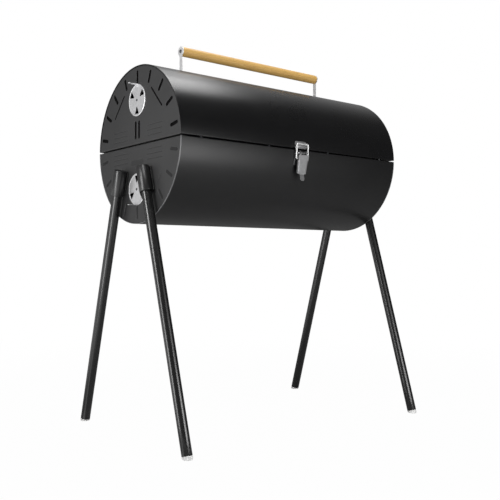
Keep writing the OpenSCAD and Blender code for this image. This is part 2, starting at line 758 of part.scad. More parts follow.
module catch_plate()
    color(latch_grey) difference() {
        union() {
            front_sheet(latch_t) {
                translate([-catch_w / 2, catch_low]) square([catch_w, catch_high - catch_low - catch_corner]);
                translate([catch_corner - catch_w / 2, catch_low])
                    square([catch_w - 2 * catch_corner, catch_high - catch_low]);
                for (x_side = [-1, 1])
                    translate([x_side * (catch_w / 2 - catch_corner), catch_high - catch_corner])
                        circle(r = catch_corner);
            }
            translate([0, 0, axis_h]) {
                translate([-neck_w * 3 / 4, lip_y, lip_z])
                    cube([neck_w * 3 / 2, -drum_r - latch_t / 2 - lip_y, latch_t]);
                translate([-neck_w * 3 / 4, lip_y, lip_z])
                    cube([neck_w * 3 / 2, latch_t, bar_z - wire_d / 2 - lip_z]);
            }
        }
        front_rivet_places(catch_rivets_at) wall_hole(rivet_d);
    }

// ---------- the nodes ----------

base_shell();
end_plate(-1, -1);  // base_end_left
end_plate(1, -1);  // base_end_right
lid_shell();
end_plate(-1, 1);  // lid_end_left
end_plate(1, 1);  // lid_end_right
socket(-1, -1);  // socket_front_left
socket(1, -1);  // socket_front_right
socket(-1, 1);  // socket_rear_left
socket(1, 1);  // socket_rear_right
leg(-1, -1);  // leg_front_left
leg(1, -1);  // leg_front_right
leg(-1, 1);  // leg_rear_left
leg(1, 1);  // leg_rear_right
foot(-1, -1);  // foot_front_left
foot(1, -1);  // foot_front_right
foot(-1, 1);  // foot_rear_left
foot(1, 1);  // foot_rear_right
leg_studs();
leg_inserts();
rim_studs();
grate_rail(-1);  // grate_rail_front
grate_rail(1);  // grate_rail_rear
cooking_grate(-1);  // cooking_grate_left
cooking_grate(1);  // cooking_grate_right
charcoal_grate();
hinge_base(-1);  // hinge_base_left
hinge_base(1);  // hinge_base_right
hinge_lid(-1);  // hinge_lid_left
hinge_lid(1);  // hinge_lid_right
hinge_pin(-1);  // hinge_pin_left
hinge_pin(1);  // hinge_pin_right
hinge_rivets(-1);  // hinge_rivets_base
hinge_rivets(1);  // hinge_rivets_lid
handle_bar();
handle_bracket(-1);  // handle_bracket_left
handle_bracket(1);  // handle_bracket_right
handle_screws();
bracket_bolts();
bracket_washers();
bracket_nuts();
latch_base();
front_rivets(latch_rivets_at);  // latch_rivets
latch_pin();
latch_lever();
latch_bail();
catch_plate();
front_rivets(catch_rivets_at);  // catch_rivets
damper(-1, -1);  // damper_base_left
damper(1, -1);  // damper_base_right
damper(-1, 1);  // damper_lid_left
damper(1, 1);  // damper_lid_right
damper_rivets(-1);  // damper_rivets_base
damper_rivets(1);  // damper_rivets_lid
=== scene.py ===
from math import asin, atan, atan2, cos, hypot, pi, radians, sin, tan

import bmesh
import bpy
from mathutils import Matrix, Vector
from mathutils.geometry import delaunay_2d_cdt


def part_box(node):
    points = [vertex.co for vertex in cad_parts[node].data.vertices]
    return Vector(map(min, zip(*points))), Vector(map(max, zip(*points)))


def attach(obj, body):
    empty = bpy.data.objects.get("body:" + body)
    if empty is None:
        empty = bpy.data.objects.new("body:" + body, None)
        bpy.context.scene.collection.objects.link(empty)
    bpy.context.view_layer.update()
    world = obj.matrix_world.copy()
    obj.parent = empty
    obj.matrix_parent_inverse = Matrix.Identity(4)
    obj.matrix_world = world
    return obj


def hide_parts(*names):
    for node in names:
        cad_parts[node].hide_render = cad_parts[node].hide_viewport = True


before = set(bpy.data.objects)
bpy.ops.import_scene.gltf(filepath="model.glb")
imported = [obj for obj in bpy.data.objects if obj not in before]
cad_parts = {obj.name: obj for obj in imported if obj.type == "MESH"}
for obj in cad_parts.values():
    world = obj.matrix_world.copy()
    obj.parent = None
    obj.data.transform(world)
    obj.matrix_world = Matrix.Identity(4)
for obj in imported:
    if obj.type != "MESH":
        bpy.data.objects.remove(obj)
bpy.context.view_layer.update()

# ---------- The studio ----------
# A pale floor under the grill in a dim room, with soft lamps to the left, overhead and low in front. The
# camera stands low, in front of the left end.


def put(tree, kind, inputs=None, **settings):
    """Adds a node and gives its outputs; each of its inputs takes a value, a socket or a list of sockets."""
    node = tree.nodes.new(kind)
    for name, value in settings.items():
        setattr(node, name, value)
    for key, given in (inputs or {}).items():
        for value in given if isinstance(given, list) else [given]:
            if isinstance(value, bpy.types.NodeSocket):
                tree.links.new(value, node.inputs[key])
            else:
                node.inputs[key].default_value = value
    return node.outputs


def calc(tree, operation, *values):
    """The result of a sum."""
    return put(tree, "ShaderNodeMath", dict(enumerate(values)), operation=operation)[0]


def times(tree, value, factor):
    """One number times another."""
    return calc(tree, "MULTIPLY", value, factor)


def dot(tree, vector, way):
    """How far a vector reaches in a direction."""
    return put(tree, "ShaderNodeVectorMath", {0: vector, 1: way}, operation="DOT_PRODUCT")["Value"]


def length(tree, vector):
    """How long a vector is."""
    return put(tree, "ShaderNodeVectorMath", {0: vector}, operation="LENGTH")["Value"]


def ranged(tree, value, start, end, low=0.0, high=1.0, curve="LINEAR"):
    """What goes from low to high while the value goes from start to end."""
    ends = {"From Min": start, "From Max": end, "To Min": low, "To Max": high}
    return put(tree, "ShaderNodeMapRange", {"Value": value, **ends}, interpolation_type=curve)[0]


def blank(data):
    """The emptied node tree of a world or a material."""
    data.use_nodes = True
    data.node_tree.nodes.clear()
    return data.node_tree


def into_scene(name, data):
    """A new object in the scene."""
    thing = bpy.data.objects.new(name, data)
    scene.collection.objects.link(thing)
    return thing


def mesh_of(bm):
    """The finished mesh of a bmesh."""
    mesh = bpy.data.meshes.new("shape")
    bm.to_mesh(mesh)
    bm.free()
    return mesh


scene = bpy.context.scene
scene.view_settings.view_transform = "Standard"

camera = into_scene("camera", bpy.data.cameras.new("camera"))
camera.data.lens = 52.31
camera.data.sensor_width = 36
camera.location = (-1.2399, -1.5230, 0.4250)
camera.rotation_euler = (radians(90.67), 0, radians(-38.94))
scene.camera = camera

LAMPS = {  # name: (place, what it points at, width, height, watts)
    "lamp_left_low": ((-1.15, -0.08, 0.31), (-0.37, -0.08, 0.31), 0.25, 0.58, 2.5),
    "lamp_left_high": ((-1.15, -0.08, 0.90), (-0.37, -0.08, 0.90), 0.25, 0.60, 4.5),
    "lamp_top": ((0.42, 0.0, 2.1), (0.42, 0, 0.7), 0.52, 0.7, 7.8),
    "lamp_top_rear": ((0.4, 0.7, 2.1), (0.4, 0.3, 0.7), 0.8, 0.6, 2.6),
    "lamp_front": ((0.0, -1.5, 0.4), (-0.3, -0.19, 0.4), 0.35, 0.6, 5.6),
    "lamp_front_right": ((0.45, -1.5, 0.39), (-0.2, -0.19, 0.39), 0.4, 0.58, 3.6),
    "lamp_front_high": ((0.2, -1.5, 0.95), (-0.2, -0.19, 0.95), 0.8, 0.4, 1.3),
    "lamp_above_left": ((-1.2, -1.5, 3.0), (0, 0, 0.6), 1.2, 1.2, 26.0),
    "lamp_behind_left": ((-1.7, 1.5, 0.9), (-0.37, 0, 0.6), 0.8, 1.2, 1.6),
}
for name, (place, aim, width, height, watts) in LAMPS.items():
    lamp = bpy.data.lights.new(name, "AREA")
    lamp.shape = "RECTANGLE"
    lamp.size, lamp.size_y, lamp.energy = width, height, watts
    holder = into_scene(name, lamp)
    holder.location = place
    holder.rotation_euler = (Vector(aim) - Vector(place)).to_track_quat("-Z", "Y").to_euler()

X_AXIS, Z_AXIS, WHITE = (1, 0, 0), (0, 0, 1), (1, 1, 1, 1)

# the room is dim, and dimmest to the right, with a paler patch high behind; the camera sees it white
scene.world = bpy.data.worlds.new("room")
tree = blank(scene.world)
facing = put(tree, "ShaderNodeTexCoord")["Generated"]
patch = ranged(tree, dot(tree, facing, (0.40, 0.70, 0.59)), 0.62, 0.97, 0.0, 0.29, "SMOOTHSTEP")
level = ranged(tree, dot(tree, facing, X_AXIS), -0.6, 0.6, 0.18, 0.09, "SMOOTHSTEP")
room = put(tree, "ShaderNodeBackground", {"Color": WHITE, "Strength": calc(tree, "ADD", level, patch)})
white = put(tree, "ShaderNodeBackground", {"Color": WHITE, "Strength": 1})
rays = put(tree, "ShaderNodeLightPath")
mix = put(tree, "ShaderNodeMixShader", {0: rays["Is Camera Ray"], 1: room[0], 2: white[0]})
put(tree, "ShaderNodeOutputWorld", {"Surface": mix[0]})

# the floor is a disc; its white grows with the distance, so it ends in the white of the room
bm = bmesh.new()
bmesh.ops.create_circle(bm, cap_ends=True, segments=96, radius=30)
floor = into_scene("floor", mesh_of(bm))
pale = bpy.data.materials.new("pale floor")
tree = blank(pale)
place = put(tree, "ShaderNodeTexCoord")["Object"]
far = ranged(tree, length(tree, place), 0.5, 2.2, 0.985, 1.0, "SMOOTHSTEP")
# mirrored in the grill, the floor glows only to the left and in a wedge from each left foot to its lamp, a
# painted reflection that carries the lamp's highlight down the legs
mirrored = ranged(tree, dot(tree, place, X_AXIS), -0.5, -1.0, 0.06, 1.0, "SMOOTHSTEP")
low_lamp = Vector(LAMPS["lamp_left_low"][0][:2] + (0,))
wedge_slope, wedge_start = 0.2, 0.004
for name in ("foot_front_left", "foot_rear_left"):
    low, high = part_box(name)
    foot = Vector(((low.x + high.x) / 2, (low.y + high.y) / 2, 0))
    ahead = (low_lamp - foot).normalized()
    away = put(tree, "ShaderNodeVectorMath", {0: place, 1: foot}, operation="SUBTRACT")["Vector"]
    wedge = calc(tree, "MULTIPLY_ADD", dot(tree, away, ahead), wedge_slope, wedge_start)
    across = calc(tree, "ABSOLUTE", dot(tree, away, (-ahead.y, ahead.x, 0)))
    mirrored = calc(tree, "MAXIMUM", mirrored, calc(tree, "GREATER_THAN", wedge, across))
rays = put(tree, "ShaderNodeLightPath")
seen = times(tree, rays["Is Camera Ray"], far)
through = calc(tree, "MAXIMUM", rays["Is Glossy Ray"], rays["Is Transmission Ray"])
share = calc(tree, "MULTIPLY_ADD", through, mirrored, seen)
matt = put(tree, "ShaderNodeBsdfDiffuse", {"Color": (0.36, 0.36, 0.36, 1)})
glow = put(tree, "ShaderNodeEmission", {"Color": WHITE, "Strength": 1})
mix = put(tree, "ShaderNodeMixShader", {0: share, 1: matt[0], 2: glow[0]})
put(tree, "ShaderNodeOutputMaterial", {"Surface": mix[0]})
floor.data.materials.append(pale)

# ---------- The drum's shells ----------
# The bowl and the lid are each one rolled sheet of steel. The sheet is folded inwards along the seam to
# stiffen it, its ends are trimmed and rounded over, and it is sprayed with black satin enamel and baked.

MM = 0.001
HALVES = (("lid", 1), ("base", -1))  # each half of the drum, and the way it lies from the seam
lid_low, lid_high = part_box("lid_shell")
bowl_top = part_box("base_shell")[1].z
drum_end = lid_high.x / MM
drum_r = lid_high.y / MM
axis_z = (lid_low.z + bowl_top) / 2 / MM
half_gap = (lid_low.z - bowl_top) / 2 / MM
sheet_t = 1.2
plate_x = drum_end - 1.0
rim_end = plate_x - 11.5
rim_w = 8.0
fold_r = 1.6


def group(name, inputs, outputs, tree_kind="ShaderNodeTree"):
    """A new node group with named sockets, each given by its kind or a default number, as (tree, what it is
    given, what it gives)."""
    tree = bpy.data.node_groups.new(name, tree_kind)
    for way, sockets in (("INPUT", inputs), ("OUTPUT", outputs)):
        for label, value in sockets.items():
            named = isinstance(value, str)
            kind = value if named else type(value).__name__.capitalize()
            socket = tree.interface.new_socket(label, in_out=way, socket_type=f"NodeSocket{kind}")
            if not named:
                socket.default_value = value
    return tree, tree.nodes.new("NodeGroupInput").outputs, tree.nodes.new("NodeGroupOutput").inputs


def noise(tree, vector, scale, detail, **more):
    """Cloudy noise from 0 to 1."""
    inputs = {"Vector": vector, "Scale": scale, "Detail": detail, **more}
    return put(tree, "ShaderNodeTexNoise", inputs)["Fac"]


def stretched(tree, vector, scale, **more):
    """Coordinates scaled along each axis."""
    return put(tree, "ShaderNodeMapping", {"Vector": vector, "Scale": scale, **more})[0]


def streaks(tree, place, scale, detail, **more):
    """Noise stretched along each axis."""
    return noise(tree, stretched(tree, place, scale), 1.0, detail, **more)


def blend(tree, share, first, second, way="MIX"):
    """Two colours mixed; each is a socket or three numbers."""
    first, second = (v if isinstance(v, bpy.types.NodeSocket) else (*v, 1) for v in (first, second))
    inputs = {0: share, 6: first, 7: second}
    return put(tree, "ShaderNodeMix", inputs, data_type="RGBA", blend_type=way)[2]


# sprayed enamel: a fine peel in the film over long, shallow waves in the sheet
peel, given, result = group(
    "sprayed film", {"Vector": "Vector", "Peel Size": 500.0, "Peel": 0.5, "Waves": 0.5}, {"Height": "Float"})
fine = times(peel, noise(peel, given["Vector"], given["Peel Size"], 2.0), given["Peel"])
long_waves = streaks(peel, given["Vector"], (4.0, 9.0, 9.0), 1.0)
peel.links.new(calc(peel, "MULTIPLY_ADD", long_waves, given["Waves"], fine), result["Height"])

# the marks that hands and cloths leave: broad smears with ragged edges
smears, given, result = group("wiped smears", {"Vector": "Vector", "Size": 6.0, "Low": 0.3, "High": 0.4},
                              {"Value": "Float", "Mask": "Float"})
broad = noise(smears, given["Vector"], given["Size"], 5.0, Roughness=0.62, Distortion=0.6)
mask = ranged(smears, broad, 0.35, 0.68)
smears.links.new(mask, result["Mask"])
smears.links.new(ranged(smears, mask, 0.0, 1.0, given["Low"], given["High"]), result["Value"])

# fine dust that settles on whatever faces up
dust, given, result = group("settled dust", {"Vector": "Vector", "Amount": 0.1}, {"Mask": "Float"})
normal = put(dust, "ShaderNodeNewGeometry")["Normal"]
level = ranged(dust, dot(dust, normal, Z_AXIS), 0.55, 1.0)
patchy = ranged(dust, noise(dust, given["Vector"], 900.0, 3.0), 0.45, 0.7)
amount = times(dust, times(dust, level, patchy), given["Amount"])
dust.links.new(amount, result["Mask"])


def use(tree, effect, place, **inputs):
    """The outputs of a shared effect in a material."""
    return put(tree, "ShaderNodeGroup", {"Vector": place, **inputs}, node_tree=effect)


def finish(name, **plain):
    """A new material with plain values on its shader, as (it, its tree, its shader, object coordinates)."""
    made = bpy.data.materials.new(name)
    made.use_nodes = True
    tree = made.node_tree
    shader = tree.nodes["Principled BSDF"]
    for label, value in plain.items():
        shader.inputs[label.replace("_", " ")].default_value = value
    return made, tree, shader, put(tree, "ShaderNodeTexCoord")["Object"]


def connect(tree, shader, colour, gloss, height=None, strength=1.0, depth=0.0):
    """Links a material's colour, roughness and, where there is one, relief."""
    tree.links.new(colour, shader.inputs["Base Color"])
    tree.links.new(gloss, shader.inputs["Roughness"])
    if height is not None:
        bump = put(tree, "ShaderNodeBump", {"Height": height, "Strength": strength, "Distance": depth})
        tree.links.new(bump[0], shader.inputs["Normal"])


def enamel(name, dark, light, rough, specular, peel_depth=0.00002, waves=0.8, dusty=0.03, shade_marks=False,
           rim=0.0):
    """Black enamel: its colour drifts between dark and light, and its gloss with what has rubbed it. It can
    be matt and painted near black in pressed marks, a painted shade, and painted lighter past the distance
    rim along x, a painted highlight."""
    made, tree, shader, place = finish(name, Specular_IOR_Level=specular)
    rubbed = use(tree, smears, place, Size=5.0, Low=rough[0], High=rough[1])
    grey = use(tree, dust, place, Amount=dusty)[0]
    colour = blend(tree, grey, blend(tree, rubbed["Mask"], dark, light), (0.16, 0.155, 0.15))
    gloss = rubbed["Value"]
    film = use(tree, peel, place, **{"Peel Size": 520.0, "Peel": 0.25, "Waves": waves})[0]
    if shade_marks:
        # painted shade: deep in a pressed mark the enamel is painted near black and made matt, for the shade
        # that falls in it
        pressed = put(tree, "ShaderNodeAttribute", attribute_name="pressed")["Fac"]
        groove_shade = ranged(tree, pressed, 0.08, 0.35)
        colour = blend(tree, groove_shade, colour, (0.002, 0.002, 0.002))
        gloss = ranged(tree, groove_shade, 0.0, 1.0, gloss, 0.85)
        tree.links.new(ranged(tree, groove_shade, 0.0, 1.0, specular, 0.08), shader.inputs["Specular IOR Level"])
    # painted highlight: past the distance rim along x the enamel is painted lighter, a bright line along the
    # ends of the shell
    if rim:
        along = calc(tree, "ABSOLUTE", dot(tree, place, X_AXIS))
        frayed = calc(tree, "MULTIPLY_ADD", noise(tree, place, 55.0, 4.0), 0.0012, along)
        thin = ranged(tree, frayed, rim, rim + 0.0008, 0.0, 0.9)
        colour = blend(tree, thin, colour, (0.19, 0.19, 0.195))
    connect(tree, shader, colour, gloss, film, 1.0, peel_depth)
    return made


# the bowl's enamel is a lighter copy of the lid's with a higher specular level; its lighter colour is painted
# light, for the brighter bowl below the seam
lid_enamel = enamel("lid enamel", (0.0045, 0.0045, 0.005), (0.0065, 0.0065, 0.007), (0.26, 0.31), 0.36)
# within 2.2 mm of the drum's ends the bowl's enamel is painted lighter, a painted highlight along its rim
bowl_enamel = enamel("bowl enamel", (0.0065, 0.0065, 0.007), (0.0085, 0.0085, 0.009), (0.33, 0.38), 0.5,
                     rim=(drum_end - 2.2) * MM)


def baked(thing):
    """Works an object's modifiers into a plain mesh."""
    mesh = bpy.data.meshes.new_from_object(thing.evaluated_get(bpy.context.evaluated_depsgraph_get()))
    thing.modifiers.clear()
    thing.data = mesh
    return thing


def worked(mesh, *modifiers):
    """A mesh with modifiers worked into it, each given as (kind, its settings)."""
    thing = into_scene("sheet", mesh)
    for kind, settings in modifiers:
        modifier = thing.modifiers.new(kind, kind)
        for label, value in settings.items():
            setattr(modifier, label, value)
    mesh = baked(thing).data
    bpy.data.objects.remove(thing)
    return mesh


def bevel(width, limit):
    """The modifier that rounds the edges sharper than limit degrees."""
    limits = {"limit_method": "ANGLE", "angle_limit": radians(limit)}
    return "BEVEL", {"width": width, "segments": 2, **limits}


def thickened(mesh, thickness, offset=-1.0, edge=0.0):
    """A sheet given its thickness, with its sharp edges rounded by edge."""
    solid = {"thickness": thickness, "offset": offset, "use_even_offset": True}
    return worked(mesh, ("SOLIDIFY", solid), *([bevel(edge, 50)] if edge else []))


def settle(thing, body, nodes):
    """Gives a finished piece to its body, in the place of its CAD nodes."""
    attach(thing, body)
    if nodes:
        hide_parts(*nodes)


def piece(name, mesh, material, smooth, body, slot, *nodes):
    """Puts a mesh drawn in millimetres in its place, smooth where it bends by less than smooth degrees."""
    mesh.transform(Matrix.Scale(MM, 4))
    mesh.name = name
    mesh.materials.clear()
    mesh.materials.append(material)
    mesh.shade_smooth()
    mesh.set_sharp_from_angle(angle=radians(smooth))
    settle(into_scene(name, mesh), body, nodes)


def grid(rows, keep=lambda i, j: True, outside=None):
    """A sheet through rows of points; outside(point) gives a direction that its faces look towards."""
    bm = bmesh.new()
    lines = [[bm.verts.new(p) for p in row] for row in rows]
    for i in range(len(rows) - 1):
        for j in range(len(rows[0]) - 1):
            if keep(i, j):
                bm.faces.new((lines[i][j], lines[i][j + 1], lines[i + 1][j + 1], lines[i + 1][j]))
    bmesh.ops.delete(bm, geom=[v for v in bm.verts if not v.link_faces], context="VERTS")
    bm.normal_update()
    if outside and sum(f.normal.dot(outside(f.calc_center_median())) * f.calc_area() for f in bm.faces) < 0:
        bmesh.ops.reverse_faces(bm, faces=bm.faces)
    return mesh_of(bm)


def angles(first, last, steps):
    """Evenly spaced angles in radians, both ends included."""
    return [first + (last - first) * k / steps for k in range(steps + 1)]


def bend(radius, steps=6):
    """A quarter bend as (how far before the corner along the first run, how far along the second)."""
    return [(radius * (1 - sin(a)), radius * (1 - cos(a))) for a in angles(0, pi / 2, steps)]


def shell_section():
    """The sheet's middle from the front rim over the top to the rear rim, as (y, height over the seam)."""
    mid_r = drum_r - sheet_t / 2
    low = half_gap + sheet_t / 2
    front = [(-mid_r + rim_w, low), (-mid_r + rim_w / 2, low)]
    front += [(-mid_r + left, low + gone) for left, gone in bend(fold_r)[:-1]]
    start = asin((low + fold_r) / mid_r)
    over = [(-mid_r * cos(a), mid_r * sin(a)) for a in angles(start, pi - start, 120)]
    return front + over + [(-y, z) for y, z in reversed(front)]


section = shell_section()
stations = [-drum_end, 1 - drum_end, 4 - drum_end, -rim_end, *range(-300, 301, 60), rim_end, drum_end - 4,
            drum_end - 1, drum_end]
for (name, side), material in zip(HALVES, (lid_enamel, bowl_enamel)):
    mesh = grid([[(x, y, axis_z + side * z) for x in stations] for y, z in section],
                lambda i, j: not (i < 2 or i > len(section) - 4) or 3 <= j <= len(stations) - 5,
                lambda p: Vector((0, p.y, p.z - axis_z)))
    piece(f"{name}_drum_shell", thickened(mesh, sheet_t, 0, 0.35), material, 40, name, "black_enamel",
          f"{name}_shell")

# ---------- The end plates ----------
# Each half of the drum is closed by a pressed steel plate with a flange folded inwards all round. Ticks round
# its edge and straight grooves are pressed into it, deeper on the lid, and three air holes are punched under
# the damper.

SIDES = (-1, 1)
ENDS = (("left", -1), ("right", 1))
plate_r = drum_r - sheet_t - 0.05
plate_bend = 2.5
plate_flange = 11.2
disc_low, disc_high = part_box("damper_lid_right")
vent_z = (disc_high.z + disc_low.z) / 2 / MM - axis_z
vent_in, vent_out, vent_half, vent_corner = 13, 33, 9, 1.6
vent_turns = (30, 150, 270)
mark_depth = 2.6


def arc(radius, turns, centre=(0, 0)):
    """The points of an arc at the given angles."""
    return [(centre[0] + radius * cos(a), centre[1] + radius * sin(a)) for a in turns]


def half_disc(radius, base, arc_steps=90, line_steps=24):
    """The outline of a half disc that stands on a flat side at height base."""
    start = asin(base / radius)
    half = radius * cos(start)
    return arc(radius, angles(start, pi - start, arc_steps)) + [
        (-half + 2 * half * k / line_steps, base) for k in range(1, line_steps)]


def stadium(start, end, half_w):
    """The outline of a strip with round ends."""
    turn = atan2(end[1] - start[1], end[0] - start[0]) - pi / 2
    return (arc(half_w, angles(turn, turn + pi, 8), end)
            + arc(half_w, angles(turn + pi, turn + 2 * pi, 8), start))


def rounded(corners, radius, steps=5):
    """A polygon with its corners rounded."""
    points = []
    for k, corner in enumerate(corners):
        corner = Vector(corner)
        before = (Vector(corners[k - 1]) - corner).normalized()
        after = (Vector(corners[(k + 1) % len(corners)]) - corner).normalized()
        half = before.angle(after) / 2
        centre = corner + (before + after).normalized() * radius / sin(half)
        first, last = corner + before * radius / tan(half), corner + after * radius / tan(half)
        points += [tuple(centre + (first - centre).lerp(last - centre, s / steps).normalized() * radius)
                   for s in range(steps + 1)]
    return points


def vent(turn):
    """One air hole, a triangle whose point is towards the damper's middle."""
    a = radians(turn)
    corners = [(vent_in, 0), (vent_out, -vent_half), (vent_out, vent_half)]
    return [(u * cos(a) - v * sin(a), u * sin(a) + v * cos(a))
            for u, v in rounded(corners, vent_corner)]


def within(point, loop):
    """Whether a point lies inside a closed outline."""
    inside = False
    for (u1, v1), (u2, v2) in zip(loop, loop[1:] + loop[:1]):
        if (v1 > point[1]) != (v2 > point[1]) and point[0] < (u2 - u1) * (point[1] - v1) / (v2 - v1) + u1:
            inside = not inside
    return inside


def pressed_sheet(rings, holes, marks, place):
    """A flat sheet with holes and pressed marks, and an edge that follows rings of (outline, height) from the
    flat face outwards. place(u, v, height) puts its points in space; the faces look towards growing height.
    The attribute pressed runs from 0 on the flat face to 1 at the bottom of a mark."""
    bm = bmesh.new()
    pressed = bm.verts.layers.float.new("pressed")
    points, heights, edges = [], [], []
    edge, flat = rings[0]
    loops = [(edge, flat), *((outline, flat) for outline in holes),
             *((outline, flat - depth) for steps in marks for outline, depth in steps)]
    for outline, height in loops:
        first, count = len(points), len(outline)
        points += [Vector(p) for p in outline]
        heights += [height] * count
        edges += [(first + k, first + (k + 1) % count) for k in range(count)]
    found, _, faces, origin, _, _ = delaunay_2d_cdt(points, edges, [], 1, 1e-5)
    level = [heights[o[0]] if o else flat for o in origin]
    verts = [bm.verts.new((p.x, p.y, h)) for p, h in zip(found, level)]
    for v, h in zip(verts, level):
        v[pressed] = (flat - h) / mark_depth
    for face in faces:
        middle = sum((found[k] for k in face), Vector((0, 0))) / len(face)
        if not any(within(middle, outline) for outline in holes):
            made = bm.faces.new([verts[k] for k in face])
            made.normal_update()
            if made.normal.z < 0:
                made.normal_flip()
    last = {k: v for v, o in zip(verts, origin) for k in o if k < len(edge)}
    for outline, height in rings[1:]:
        ring = [bm.verts.new((u, v, height)) for u, v in outline]
        for k in range(len(ring)):
            n = (k + 1) % len(ring)
            bm.faces.new((last[k], ring[k], ring[n], last[n]))
        last = ring
    bmesh.ops.delete(bm, geom=[v for v in bm.verts if not v.link_faces], context="VERTS")
    for v in bm.verts:
        v.co = place(*v.co)
    return mesh_of(bm)


def mirrored(mesh, x=1, y=1, z=1):
    """A mesh mirrored across the drum's middle planes, its faces still looking outwards."""
    copy = mesh.copy()
    centre = Matrix.Translation((0, 0, axis_z))
    copy.transform(centre @ Matrix.Diagonal((x, y, z, 1)) @ centre.inverted())
    if x * y * z < 0:
        copy.flip_normals()
    return copy


def mark(start, end, half_w=4.0, depth=mark_depth):
    """A pressed groove as outlines that go down into it."""
    return [(stadium(start, end, half_w + w), d * depth)
            for w, d in ((1.2, 0.0), (0.5, 0.0), (0.2, 0.08), (0.0, 0.35), (-0.3, 0.85), (-0.8, 1.0))]


def plate_marks(tick_depth):
    """The ticks and grooves that both plates of an end have, with v upwards from the seam."""
    marks = []
    for turn in range(10, 171, 20):
        outer, inner = (arc(plate_r - inset, [radians(turn)])[0] for inset in (14, 37))
        marks.append(mark(outer, inner, depth=tick_depth))
    for side in SIDES:
        marks.append(mark((109 * side, 78), (64 * side, 126), 2.3, 0.5 * tick_depth))
        marks += [mark((46 * side, v), (112 * side, v), 1.1, 0.16 * mark_depth) for v in (16, 28, 40)]
    return marks


rings = [(half_disc(plate_r - plate_bend - 2, half_gap + plate_bend + 2), 0.0)]
rings += [(half_disc(plate_r - left, half_gap + left), -gone) for left, gone in bend(plate_bend, 5)]
rings += [(half_disc(plate_r, half_gap), -h) for h in (plate_bend + 1, plate_flange)]
vents = [[(u, v + vent_z) for u, v in vent(turn)] for turn in vent_turns]
twin = [mark((8.0 * side, 18), (8.0 * side, 53), 4.3) for side in SIDES]
pad = [mark((-24, 42), (24, 42), 6.5, 0.14 * mark_depth)]
# the end plates' pressed marks carry painted shade
plate_enamel = enamel("end plate enamel", (0.021, 0.021, 0.0215), (0.0265, 0.0265, 0.027), (0.44, 0.52), 0.5,
                      waves=0.3, shade_marks=True)
for (name, side), tick_depth, middle in zip(HALVES, (mark_depth, 0.22 * mark_depth), (twin, pad)):
    plate_mesh = thickened(pressed_sheet(rings, vents, plate_marks(tick_depth) + middle,
                                         lambda u, v, h: (plate_x + h, u, axis_z + v)), sheet_t)
    for end, way in ENDS:
        piece(f"{name}_plate_{end}", mirrored(plate_mesh, x=way, z=side), plate_enamel, 32, name,
              "black_enamel", f"{name}_end_{end}")

# ---------- The dampers ----------
# Four zinc-plated steel discs turn on rivets over the air holes. Each is stamped with a rolled rim and three
# holes to match the plate's, and has a tapered finger tab bent outwards at its edge.

disc_r = (disc_high.y - disc_low.y) / 2 / MM
disc_x = disc_low.x / MM
disc_t = 1.0
tab_x = disc_x + 0.7
tab_bend, tab_inset = 1.8, 0.5


def circle(radius, count=96, middle=(0, 0)):
    """The outline of a circle."""
    return arc(radius, angles(0, 2 * pi, count)[:-1], middle)


def strip(path, half_widths, across=(-1, -0.5, 0, 0.5, 1)):
    """A flat bar that follows a path of (x, z) points; its width lies along y."""
    return grid([[(x, w * s, z) for s in across] for (x, z), w in zip(path, half_widths)])


def joined(*meshes):
    """Several meshes as one."""
    bm = bmesh.new()
    for mesh in meshes:
        bm.from_mesh(mesh)
    return mesh_of(bm)


# zinc: a bright metal with a faint crystal bloom and fine scratches
zinc, tree, shader, place = finish("zinc plate", Metallic=1.0)
crystals = {"Vector": place, "Scale": 260.0, "Randomness": 1.0}
bloom = put(tree, "ShaderNodeTexVoronoi", crystals)["Color"]
tone = use(tree, smears, place, Size=30.0, Low=0.40, High=0.52)
shade = blend(tree, tone["Mask"], (0.82, 0.82, 0.83), (0.71, 0.71, 0.72))
shade = blend(tree, 1.0, shade, ranged(tree, bloom, 0.0, 1.0, 0.94, 1.06), "MULTIPLY")
connect(tree, shader, shade, tone["Value"], noise(tree, place, 700.0, 3.0), 0.3, 0.00004)

rim_steps = ((4.5, 0.0), (3.6, 0.05), (2.8, 0.45), (2.0, 0.6), (1.1, 0.5), (0.4, 0.1), (0.0, -0.4))
disc = pressed_sheet([(circle(disc_r - inset), h) for inset, h in rim_steps], [vent(t) for t in vent_turns],
                     [], lambda u, v, h: (disc_x + disc_t + h, u, axis_z + vent_z + v))
tab_path = [(tab_x, disc_r - 7)]
tab_path += [(tab_x + gone, disc_r - tab_inset - left) for left, gone in bend(tab_bend)]
tab_path += [(tab_x + tab_bend + s, disc_r - tab_inset) for s in (2, 6, 10, 14, 18, 20, 21, 21.6, 22, 22.2)]
tab_half = [6.5] * 8 + [6.4, 6.0, 5.4, 4.7, 4.1, 3.7, 3.1, 2.5, 1.6, 0.5]
tab = strip([(x, axis_z + vent_z + v) for x, v in tab_path], tab_half)
damper_mesh = joined(thickened(disc, 0.6), thickened(tab, 1.0, 0, 0.2))
for name, side in HALVES:
    for end, way in ENDS:
        piece(f"damper_disc_{name}_{end}", mirrored(damper_mesh, x=way, z=side), zinc, 35,
              f"damper_{name}_{end}", "damper_steel", f"damper_{name}_{end}")

# ---------- The legs ----------
# Four sockets, each a short tube closed by a plate, are welded to the lower end plates by a saddle. A painted
# steel tube is screwed into each and splays out to a white moulded foot cap.

socket_low, socket_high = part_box("socket_rear_right")
leg_low, leg_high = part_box("leg_rear_right")
leg_x = (leg_low.x + leg_high.x) / 2 / MM
leg_r = (leg_high.x - leg_low.x) / 2 / MM
socket_r = (socket_high.x - socket_low.x) / 2 / MM
socket_l, cap_h = 62.0, 6.4
top_z = axis_z - 59.0
socket_y, foot_y = 52.0, 240.0
splay = atan((foot_y - socket_y) / top_z)
leg_l = hypot(foot_y - socket_y, top_z)
leg_place = Matrix.Translation((leg_x, socket_y, top_z)) @ Matrix.Rotation(splay, 4, "X")


